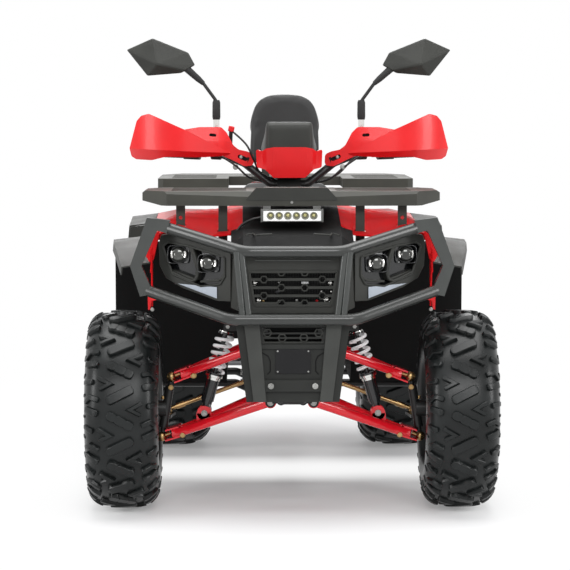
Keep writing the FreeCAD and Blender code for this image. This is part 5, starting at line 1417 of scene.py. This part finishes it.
def addBackrest():
    grown = padValues["grown"]
    (_, low, _), (_, high, _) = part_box("backrest")
    right = [
        (x / 1000 + grown * (x > 0), z / 1000 + grown * (z > 1000) - grown * (z < 910))
        for x, z in padValues["side"]
    ]
    work = bmesh.new()
    addPrism(work, right + [(-x, z) for x, z in right[-2::-1]], low - grown, high - 0.004)
    addPad("backrestPad", "backrest", work, padValues, low - 0.004, high - 0.0005)


addBackrest()
print("quad bike: backrest done")

# The guard's lower slot gets the same rings, the plate and the core behind the grille follow

noseValues = {
    "guardFront": -0.868,
    "rings": [(0.028, 0.484), (0.066, 0.497)],
    "ringSize": (0.0125, 0.0036),
    "slat": (0.079, 0.4725, 0.004),
    "pocket": [(0.084, 0.449), (0.064, 0.437), (0.0585, 0.424), (0.0585, 0.398), (0.066, 0.390)],
    "plate": (0.0455, 0.3925, 0.4555),
    # name: finish, half length, height, front and back in Y, width
    "bars": {
        # noseBrow: a bright trim line in painted light
        "noseBrow": ("barBright", 0.098, 0.684, -0.8692, -0.8672, 0.0024),
        # coreBack and slotBack: dark sheets of painted shade behind the openings
        "coreBack": ("cavityBlack", 0.112, 0.612, -0.842, -0.834, 0.098),
        "slotBack": ("cavityBlack", 0.082, 0.489, -0.823, -0.819, 0.056),
    },
    "coreFront": -0.846,
    "fin": (0.566, 0.657, 0.0010),
    "finCount": 52,
    "finStep": 0.0041,
    "lugs": [
        ("brightSteel", (-0.100, 0.625), 0.0085), ("brightSteel", (0.098, 0.625), 0.0085),
        ("brightSteel", (-0.090, 0.579), 0.0090), ("brightSteel", (0.088, 0.581), 0.0095),
        ("goldZinc", (-0.076, 0.578), 0.0036), ("redPlastic", (0.062, 0.579), 0.0032),
        ("engineAlloy", (-0.040, 0.602), 0.0060), ("boltSteel", (0.010, 0.580), 0.0050),
        ("boltSteel", (-0.036, 0.626), 0.0040), ("brightSteel", (0.074, 0.603), 0.0034),
        ("boltSteel", (-0.036, 0.578), 0.0046), ("brightSteel", (0.100, 0.602), 0.0040),
    ],
}


def addNoseDetails():
    v = noseValues
    y, core = v["guardFront"], v["coreFront"]
    front, back = y - 0.0004, y + 0.0062
    rings, pockets, fin, tag = (bmesh.new() for _ in range(4))
    for x, z in v["rings"]:
        for side in (-1, 1):
            addHexRing(rings, side * x, z, *v["ringSize"], front, back)
    reach, z, width = v["slat"]
    addBar(rings, (-reach, z), (reach, z), front, back, width)
    addPiece("guardRings", rings, "blackPlastic", "black_plastic")
    for side in (-1, 1):
        path = [(side * a, b) for a, b in v["pocket"]]
        for a, b in zip(path, path[1:]):
            addBar(pockets, a, b, y - 0.0012, y + 0.003, 0.0028)
    # the pocket's edges drawn as painted shade
    addPiece("guardPockets", pockets, "cavityBlack", "black_plastic")
    half, low, high = v["plate"]
    face = flatPanel(roundCorners([(-half, low), (half, low), (half, high), (-half, high)], 0.004))
    bendPanel(face, y - 0.0046)
    addPiece("ratingPlate", face, "plateAlloy", "black_plastic", wall=(0.0014, 0.0005))
    for name, (finish, reach, z, y0, y1, width) in v["bars"].items():
        bar = bmesh.new()
        addBar(bar, (-reach, z), (reach, z), y0, y1, width)
        addPiece(name, bar, finish, "black_plastic")
    firstX = -v["finStep"] * (v["finCount"] - 1) / 2
    low, high, width = v["fin"]
    addBar(fin, (firstX, low), (firstX, high), core, core + 0.004, width)
    addRow("coreFins", fin, "blackSteel", "engine_alloy", v["finCount"], (v["finStep"], 0.0, 0.0))
    for finish in sorted({name for name, _, _ in v["lugs"]}):
        work = bmesh.new()
        for name, (x, z), radius in v["lugs"]:
            if name == finish:
                addDome(work, (x, core - 0.001, z), radius, radius * 0.6, 5, 20)
        addPiece("core" + finish[0].upper() + finish[1:], work, finish, "engine_alloy")
    addBar(tag, (0.022, 0.6255), (0.040, 0.6255), core - 0.003, core, 0.0048)
    addPiece("coreTag", tag, "whiteFace", "lamp_alloy")


addNoseDetails()

# Red lips beside the lamp bezels

lipValues = {
    "lipUpper": [(349, 752), (366, 741), (390, 692), (376, 668), (364, 676), (358, 704), (350, 738)],
    "lipLower": [(381, 588), (347, 577), (349, 571), (371, 565), (374, 543), (380, 541)],
}

for name, points in lipValues.items():
    lip = flatPanel(metres(roundCorners(points, 1.2)))
    bendPanel(lip, lambda x, z: -0.694 + (x - 0.35) * 0.25)
    addPiece(name, lip, "redPlastic", "red_plastic", fold=20.0, wall=(0.003, 0.0008), mirrored=True)
print("quad bike: nose details done")

# Instrument pod: the CAD body rounded, with a glass dial that faces the rider

podValues = {
    "voxel": 0.005,
    "smoothing": 26,
    "dialHeight": 0.985,
    "sunk": 0.0035,
    "dial": (0.034, 0.003),
    "ring": (0.0355, 0.0022),
}


def addPod():
    v = podValues
    node = "instrument_pod"
    piece = remeshed("podBody", cadWork(node), v["voxel"], v["smoothing"])
    smoothSkin(piece, "blackPlastic")
    attach(piece, bodyOfNode[node], slotOfNode[node], node)
    dial, ring = bmesh.new(), bmesh.new()
    addDome(dial, (0.0, 0.0, 0.0), *v["dial"], 6, 48)
    addTorus(ring, (0.0, 0.0, 0.0), *v["ring"], steps=48)
    place = Matrix.Translation((0.0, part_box(node)[1][1] - v["sunk"], v["dialHeight"]))
    for name, work, finish in (("dialGlass", dial, "dialGlass"), ("dialRing", ring, "brightSteel")):
        bmesh.ops.transform(work, matrix=place @ Matrix.Rotation(math.pi, 4, "Z"), verts=work.verts)
        addPiece(name, work, finish, "lamp_glass", body="steering")


addPod()

# Front arms: two bent tubes each, the outer fork, and the tab that holds the shock

armValues = {
    # pivot, bend and tip as (x, z), half spread of the pivots, radius of the tube
    "lower": ((0.057, 0.299), (0.276, 0.2140), (0.3205, 0.2010), 0.115, 0.0128),
    "upper": ((0.100, 0.438), (0.270, 0.3700), (0.2960, 0.3600), 0.090, 0.0114),
    "axle": -0.590,
    "bendSpread": 0.20,         # share of the spread that is left at the bend
    "tipSpread": 0.016,
    "rounding": 0.05,
    "bush": (0.0155, 0.020),    # radius and half length
    "tab": (0.2335, 0.256, 0.0195),
}


def addArms():
    v = armValues
    arms, rubbers = bmesh.new(), bmesh.new()
    axle = v["axle"]
    bush, reach = v["bush"]
    for (px, pz), (bx, bz), (tx, tz), spread, tube in (v["lower"], v["upper"]):
        for side in (-1, 1):
            y, near = axle + side * spread, axle + side * v["tipSpread"]
            bend = axle + side * spread * v["bendSpread"]
            path = [(px, y, pz), (bx, bend, bz), (tx - 0.012, near, tz + 0.002), (tx, near, tz)]
            addTube(arms, roundPath(path, v["rounding"]), tube)
            addTube(arms, [(px, y - reach, pz), (px, y + reach, pz)], bush, 28)
            addTube(rubbers, [(px, y - reach - 0.0016, pz), (px, y - reach + 0.001, pz)], bush * 0.86, 28)
        turn = Matrix.Rotation(math.pi - math.atan2(bz - tz, bx - tx), 4, "Y")
        for lift in (-0.0135, 0.0135):
            addBox(arms, (tx - 0.004, axle, tz + lift + 0.001), (0.046, 0.048, 0.004), turn)
        addBox(arms, (tx - 0.024, axle, tz + 0.008), (0.006, 0.048, 0.030), turn)
    x, z, radius = v["tab"]
    for side in (-1, 1):
        y = axle + side * 0.0145
        addTube(arms, [(x, y - 0.0022, z), (x, y + 0.0022, z)], radius, 32)
        addBox(arms, (x + 0.003, y, z - 0.016), (0.036, 0.0044, 0.030))
    addBox(arms, (x + 0.002, axle, z - 0.030), (0.046, 0.062, 0.005), turnAboutY(20))
    addPiece("frontArmTubes", arms, "armPaint", "arm_paint", "front_arms", fold=35.0, mirrored=True)
    addPiece("armBushes", rubbers, "gripRubber", "grip_rubber", fold=35.0, mirrored=True)


addArms()
print("quad bike: arms done")

# Shock seats and bodies, along the line from the spring's foot to its top

shockValues = {
    # name: finish, slot, and for each part its start, end and radius
    "shockSeats": ("brightSteel", "drive_steel", [
        (0.365, 0.402, 0.0192), (0.402, 0.425, 0.0240), (0.912, 0.940, 0.0190),
    ]),
    "shockBodies": ("damperSteel", "damper_steel", [(0.12, 0.365, 0.0176), (0.085, 0.12, 0.0150)]),
}

shockFoot, shockTop = Vector(springValues["frontFoot"]), Vector(springValues["frontTop"])
for name, (finish, slot, parts) in shockValues.items():
    shock = bmesh.new()
    for start, end, radius in parts:
        addTube(shock, [shockFoot.lerp(shockTop, start), shockFoot.lerp(shockTop, end)], radius, 28)
    addPiece(name, shock, finish, slot, mirrored=True)

# Bolts and nuts, seated on the surface of the node that holds them

frontward, upward = (0, -1, 0), (0, 0, 1)
steel, gold = ("drive_steel", "boltSteel"), ("gold_zinc", "goldZinc")

boltValues = {
    # name: body, slot and finish, (head radius, height, washer radius, sides), node it sits on, places
    "plateScrews": ("chassis", steel, (0.0024, 0.0014, 0.0032, 14), "nose_guard", [
        (0.0395, -0.872, 0.4505), (0.0395, -0.872, 0.3975),
    ]),
    "guardBolts": ("chassis", steel, (0.0050, 0.0040, 0.0078, 6), "nose_guard", [(0.057, -0.883, 0.361)]),
    "pivotBolts": ("chassis", steel, (0.0058, 0.0060, 0.0088, 6), None, [
        (0.057, -0.7268, 0.299), (0.100, -0.7018, 0.438), (0.2335, -0.6072, 0.256), (0.170, -0.6022, 0.489),
    ]),
    "lipBolts": ("chassis", steel, (0.0036, 0.0030, 0.0052, 6), None, [(0.3685, -0.6915, 0.5430)]),
    "browScrews": ("chassis", steel, (0.0026, 0.0016, 0.0038, 14), "front_rack", [(0.0, -0.70, 0.8262)]),
    "guardArmBolts": ("steering", steel, (0.0034, 0.0024, 0.0046, 6), None, [(0.1350, -0.2985, 0.9362)]),
    "clampBolts": ("steering", steel, (0.0056, 0.0050, 0.0080, 6), "handlebar", [(0.150, -0.286, 0.9080)]),
    "jointNuts": ("chassis", gold, (0.0066, 0.0080, 0.0084, 6), None, [
        (0.292, -0.6140, 0.1990), (0.262, -0.6120, 0.3590),
    ]),
}
knuckleNuts = [((0.3440, -0.5900, 0.2220), upward), ((0.3230, -0.5900, 0.3250), frontward)]
knuckleNutSize = (0.0056, 0.0060, 0.0072, 6)
rimNutSize = (0.0088, 0.0140, 0.0105, 6)
coverBoltSize = (0.0042, 0.0042, 0.0056, 6)


def addBolts(name, body, kind, sizes, node, places):
    # places are (place, aim) pairs
    slot, finish = kind
    radius, height, washer, sides = sizes
    points = [seatOn(node, place, aim) if node else place for place, aim in places]
    aims = [aim for _, aim in places]
    piece = addHeads(name, finish, points, aims, (radius, height, washer, height * 0.35, sides))
    bevelEdges(piece, 0.0005)
    attach(piece, body, slot)


for name, (body, kind, sizes, node, places) in boltValues.items():
    both = places + [(-x, y, z) for x, y, z in places if x]
    addBolts(name, body, kind, sizes, node, [(place, frontward) for place in both])
for side, hand in ((1, "left"), (-1, "right")):
    node = "knuckle_" + hand
    places = [((side * x, y, z), aim) for (x, y, z), aim in knuckleNuts]
    addBolts("knuckleNuts" + hand.title(), node, gold, knuckleNutSize, node, places)
for node, body, hands in (
    ("front_rim_left", "front_wheel_left", (1,)), ("front_rim_right", "front_wheel_right", (-1,)),
    ("rear_rims", "rear_wheels", (-1, 1)),
):
    middle = middleOf(node)
    ring = circle(0.0445, 4, 45)
    places = [((side * 0.440, middle.y + a, middle.z + b), (side, 0, 0)) for side in hands for a, b in ring]
    addBolts(camel("nuts_" + node), body, steel, rimNutSize, node, places)
places = [
    ((side * 0.16, y + a, 0.348 + b), (side, 0, 0))
    for side, y in ((-1, -0.060), (1, -0.070)) for a, b in circle(0.066, 7, 12)
]
addBolts("coverBolts", "chassis", steel, coverBoltSize, "engine", places)
print("quad bike: bolts done")

# The pressed brow over the rack's front beam

rackBrow = flatPanel(roundCorners([(-0.124, 0.831), (0.124, 0.831), (0.094, 0.8648), (-0.094, 0.8648)], 0.004))
bendPanel(rackBrow, -0.7022)
addPiece("rackBrow", rackBrow, "blackPlastic", "black_plastic", wall=(0.0028, 0.0008))

# Mirrors: a ridged shell, its glass, the bent stem and the boots

mirrorValues = {
    "outline": [(456, 1235.5), (383, 1268), (283, 1228), (264, 1193), (289, 1178), (304, 1170.5), (398, 1163)],
    "ridge": (369.6, 1194.4),
    "depths": (-0.224, -0.226, -0.230, -0.236, -0.243, -0.240, -0.228),
    "ridgeDepth": -0.2590,
    "back": -0.2135,
    "glass": -0.2108,
    "stem": [
        (0.292, -0.2300, 1.187), (0.240, -0.2348, 1.141), (0.204, -0.2348, 1.092), (0.204, -0.2348, 0.990),
    ],
    # heights along the stem's foot, and the radius at each
    "boot": ([1.095, 1.088, 1.048, 1.040], [0.0085, 0.0110, 0.0114, 0.0100]),
    "headBoot": [0.0100, 0.0106, 0.0088, 0.0064],
    "feet": (((1.040, 1.018), 0.0086, 6), ((1.020, 0.990), 0.0070, 24)),
}


def addMirrors():
    v = mirrorValues
    points = metres(v["outline"])
    count = len(points)
    shells, panes, stems, boots, feet = (bmesh.new() for _ in range(5))
    front = [shells.verts.new((x, y, z)) for (x, z), y in zip(points, v["depths"])]
    back = [shells.verts.new((x, v["back"], z)) for x, z in points]
    ridge = shells.verts.new((v["ridge"][0] / 1000, v["ridgeDepth"], v["ridge"][1] / 1000))
    for k in range(count):
        j = (k + 1) % count
        shells.faces.new((front[k], front[j], ridge))
        shells.faces.new((front[k], front[j], back[j], back[k]))
    shells.faces.new(back)
    bmesh.ops.recalc_face_normals(shells, faces=shells.faces)
    middle = Vector((sum(x for x, _ in points), sum(z for _, z in points))) / count
    inner = [middle + (Vector(q) - middle) * 0.93 for q in points]
    turnFaces([panes.faces.new([panes.verts.new((q.x, v["glass"], q.y)) for q in inner])], 1)
    addTube(stems, roundPath(v["stem"], 0.022), 0.0048, 18)
    a, b, _, end = (Vector(q) for q in v["stem"])
    addTube(boots, [a + (a - b) * 0.25, a, a.lerp(b, 0.72), b], v["headBoot"], 24)
    heights, radii = v["boot"]
    addTube(boots, [(end.x, end.y, z) for z in heights], radii, 24)
    for heights, radius, sides in v["feet"]:
        addTube(feet, [(end.x, end.y, z) for z in heights], radius, sides)
    for name, work, finish, slot, fold, wall in (
        ("mirrorShells", shells, "blackPlastic", "black_plastic", 14.0, None),
        ("mirrorPanes", panes, "mirrorGlass", "lamp_alloy", 30.0, (0.001, 0.0003)),
        ("mirrorStems", stems, "blackSteel", "black_plastic", 40.0, None),
        ("mirrorBoots", boots, "gripRubber", "grip_rubber", 40.0, None),
        ("mirrorFeet", feet, "brightSteel", "drive_steel", 30.0, None),
    ):
        nodes = ["mirrors"] if work is shells else []
        more = {"body": "steering", "fold": fold, "wall": wall, "mirrored": True}
        piece = addPiece(name, work, finish, slot, *nodes, **more)
        if nodes:
            bevelEdges(piece, 0.0035, 4, 6, True)


addMirrors()

# Dark backing in the handguards' slots: sheets of painted shade seen through them

backings = bmesh.new()
for side in (-1, 1):
    addBox(backings, (side * 0.1300, -0.2912, 0.9340), (0.036, 0.003, 0.016), turnAboutY(side * -24))
    addBox(backings, (side * 0.2130, -0.3100, 0.9980), (0.034, 0.003, 0.020))
addPiece("slotBackings", backings, "cavityBlack", "black_plastic", body="steering")

# Footwells: a raised border and ribs inside both walls

footwellValues = {
    "sides": (0.140, 0.476),
    # low and high edge, direction that the wall faces along Y, and depth from which it is looked at
    "walls": ((0.330, 0.680, 1, -0.10), (0.345, 0.630, -1, 0.10)),
    "ribs": 5,
    "ribEnd": 0.03,
    "radius": 0.0030,
    "steps": 14,
}


def addFootwellRibs(node, side):
    v = footwellValues
    work = bmesh.new()
    inner, outer = v["sides"]
    for low, high, aim, look in v["walls"]:
        corners = [(inner, low), (outer, low), (outer, high), (inner, high)]
        lines = list(zip(corners, corners[1:] + corners[:1]))
        for k in range(1, v["ribs"] + 1):
            x = mixed(inner, outer, k / (v["ribs"] + 1))
            lines.append(((x, low + v["ribEnd"]), (x, high - v["ribEnd"])))
        for (x0, z0), (x1, z1) in lines:
            shares = [k / v["steps"] for k in range(v["steps"] + 1)]
            path = [(side * mixed(x0, x1, share), look, mixed(z0, z1, share)) for share in shares]
            path = [q for q in (rayOn(node, p, (0, -aim, 0), 0.5) for p in path) if q]
            if len(path) > 2:
                addTube(work, path, v["radius"], 8)
    addPiece(camel(node) + "Ribs", work, "blackPlastic", "black_plastic", fold=50.0)


addFootwellRibs("footwell_left", 1)
addFootwellRibs("footwell_right", -1)

# Seat: the CAD body padded, with seams sewn across it

seatValues = {
    "voxel": 0.006,
    "pressure": 4.0,
    "cap": 0.005,
    "smoothing": 8,
    "crossSeams": [0.05, 0.13, 0.21, 0.34, 0.42, 0.50],
    "seam": 0.0014,
    "seamStep": 0.005,
    "seamEnd": 0.55,        # the seam stops where the cover turns down more than this
    "stitch": (0.0009, 0.0006, 0.0012, 0.0006, 6),
    "stitchPlace": (0.0045, 0.0003),
}


def addSeat():
    v = seatValues
    pad = surfaceTree(addPad("seatPad", "seat", cadWork("seat"), v).data)
    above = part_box("seat")[1][2] + 0.1
    out, up = v["stitchPlace"]
    seams, stitches = bmesh.new(), []
    for y in v["crossSeams"]:
        hits = []
        for k in range(-28, 29):
            place, normal = pad.ray_cast(Vector((k * v["seamStep"], y, above)), Vector((0, 0, -1)), 0.4)[:2]
            if place and normal.z > v["seamEnd"]:
                hits.append(place + Vector((0, 0, v["seam"] * 0.1)))
        addTube(seams, hits, v["seam"], 8)
        stitches += [hit + Vector((0, side * out, up)) for side in (1, -1) for hit in hits]
    addPiece("seatSeams", seams, "gripRubber", "upholstery", fold=50.0)
    thread = addHeads("seatStitches", "redPlastic", stitches, [upward] * len(stitches), v["stitch"])
    attach(thread, "chassis", "upholstery")


addSeat()
print("quad bike: seat done")

# Chain: plates and rollers along the path round both sprockets

chainValues = {
    "x": 0.072,
    "small": (0.150, 0.300, 0.034),
    "large": (0.610, 0.2665, 0.078),
    "pitch": 0.015875,
    "plate": (0.0058, 0.0007),      # half height and half thickness
    # place of the plates, reach past them and radius of the pins or rollers
    "wideLink": (0.0062, 0.0016, 0.0022),
    "narrowLink": (0.0044, -0.0007, 0.0042),
}


def chainPath():
    # the hull round both sprockets
    v = chainValues
    points = sorted((y + a, z + b) for y, z, r in (v["small"], v["large"]) for a, b in circle(r, 120))
    hull = []
    for ordered in (points, points[::-1]):
        part = []
        for q in ordered:
            while len(part) > 1:
                (ax, ay), (bx, by) = part[-2:]
                if (bx - ax) * (q[1] - ay) - (by - ay) * (q[0] - ax) > 0:
                    break
                part.pop()
            part.append(q)
        hull += part[:-1]
    return hull


def linkMesh(name):
    v = chainValues
    half = v["pitch"] / 2
    height, thick = v["plate"]
    plateX, past, radius = v[name]
    work = bmesh.new()
    outline = obround((0.0, 0.0), half, height, 0.0, 5)
    for side in (-1, 1):
        loft(work, [[(side * plateX + edge, a, b) for a, b in outline] for edge in (-thick, thick)])
    for y in (-half, half):
        addTube(work, [(-plateX - past, y, 0), (plateX + past, y, 0)], radius, 10)
    return meshPiece(name, work, "driveSteel")


def addChain():
    v = chainValues
    hull = chainPath()
    count = len(hull)
    length = sum(math.dist(a, b) for a, b in zip(hull, hull[1:] + hull[:1]))
    mesh = bpy.data.meshes.new("chainLinks")
    mesh.from_pydata([(v["x"], y, z) for y, z in hull], [(k, (k + 1) % count) for k in range(count)], [])
    piece = addObject("chainLinks", mesh, "driveSteel")
    wide, narrow = linkMesh("wideLink"), linkMesh("narrowLink")
    values = {"Links": 2 * round(length / v["pitch"] / 2), "Wide link": wide, "Narrow link": narrow}
    runTree(piece, "chain", "driveSteel", values)
    for spare in (wide, narrow):
        bpy.data.objects.remove(spare)
    attach(piece, "chassis", "drive_steel", "chain")


addChain()

# Grips: ribs round the rubber

gripValues = {
    "inner": (0.300, -0.2262, 0.9484),
    "outer": (0.400, -0.1990, 0.9520),
    "radius": 0.0162,
    "rib": 0.0011,
    "count": 24,
}


def addGripRibs(name, side):
    v = gripValues
    start, end = (Vector((side * x, y, z)) for x, y, z in (v["inner"], v["outer"]))
    work = bmesh.new()
    addTorus(work, (0, 0, 0), v["radius"], v["rib"], steps=28, sides=8)
    turn = Vector((0, -1, 0)).rotation_difference((end - start).normalized()).to_matrix().to_4x4()
    bmesh.ops.transform(work, matrix=Matrix.Translation(start) @ turn, verts=work.verts)
    step = (end - start) / (v["count"] - 1)
    addRow(name, work, "gripRubber", "grip_rubber", v["count"], step, "steering")


addGripRibs("gripRibsLeft", 1)
addGripRibs("gripRibsRight", -1)
print("quad bike: chain and grips done")

# Cables from the controls to the pod, the lamp's lead and the red switch cap

cableValues = {
    "radius": 0.0028,
    "leadRadius": 0.0034,
    "runs": [
        [
            (-0.160, -0.262, 1.006), (-0.150, -0.275, 1.000), (-0.118, -0.290, 0.968), (-0.098, -0.285, 0.925),
            (-0.078, -0.262, 0.888), (-0.030, -0.250, 0.868),
        ],
        [
            (-0.232, -0.262, 0.946), (-0.196, -0.285, 0.940), (-0.150, -0.292, 0.912), (-0.110, -0.280, 0.878),
            (-0.050, -0.262, 0.862), (-0.020, -0.250, 0.858),
        ],
        [
            (0.232, -0.262, 0.946), (0.196, -0.285, 0.936), (0.150, -0.290, 0.905), (0.112, -0.282, 0.874),
            (0.055, -0.264, 0.860), (0.020, -0.250, 0.856),
        ],
        [
            (0.226, -0.250, 0.955), (0.180, -0.262, 0.930), (0.135, -0.262, 0.886), (0.070, -0.255, 0.862),
            (0.026, -0.246, 0.862),
        ],
    ],
    "lampLead": [
        (-0.079, -0.716, 0.788), (-0.105, -0.716, 0.782), (-0.132, -0.712, 0.767), (-0.147, -0.705, 0.744),
        (-0.148, -0.698, 0.722),
    ],
}


def addCables():
    v = cableValues
    work, lead, cap, stalk = (bmesh.new() for _ in range(4))
    for run in v["runs"]:
        addTube(work, spline(run), v["radius"], 12)
    addPiece("barCables", work, "cableSkin", "grip_rubber", body="steering", fold=40.0)
    addTube(lead, spline(v["lampLead"]), v["leadRadius"], 12)
    addPiece("lampLead", lead, "cableSkin", "grip_rubber", fold=40.0)
    addTube(stalk, [(-0.166, -0.256, 0.930), (-0.163, -0.262, 1.008)], 0.0055, 16)
    addPiece("switchStalk", stalk, "blackSteel", "grip_rubber", body="steering")
    addBox(cap, (-0.162, -0.262, 1.014), (0.017, 0.014, 0.016), turnAboutY(12))
    bevelEdges(addPiece("switchCap", cap, "redPlastic", "red_plastic", body="steering"), 0.003, 3)


addCables()

# A rolled rim round each lamp opening and the wing between its chambers

rims = bmesh.new()
rimLoop = [(x, lampFace(x) - 0.0012, z) for x, z in metres(roundCorners(lampValues["outline"], 9))]
addTube(rims, rimLoop + rimLoop[:2], 0.0030, 10)
addTube(rims, spline([(x, lampFace(x) + 0.002, z) for x, z in lampValues["wing"]]), 0.0046, 12)
addPiece("lampRims", rims, "blackPlastic", "black_plastic", fold=40.0, mirrored=True)

# Two pressed lines on the hood

hoodLine = [(0.122, 0.7435), (0.112, 0.7465), (0.090, 0.7490), (0.0535, 0.7510)]
hoodLines = bmesh.new()
for side in (-1, 1):
    path = spline([(side * x, 0.0, z) for x, z in hoodLine], 4)
    addTube(hoodLines, [seatOn("nose_cover", (q.x, -0.85, q.z), frontward) for q in path], 0.0022, 10)
addPiece("hoodLines", hoodLines, "blackPlastic", "black_plastic", fold=40.0)
print("quad bike: cables done")
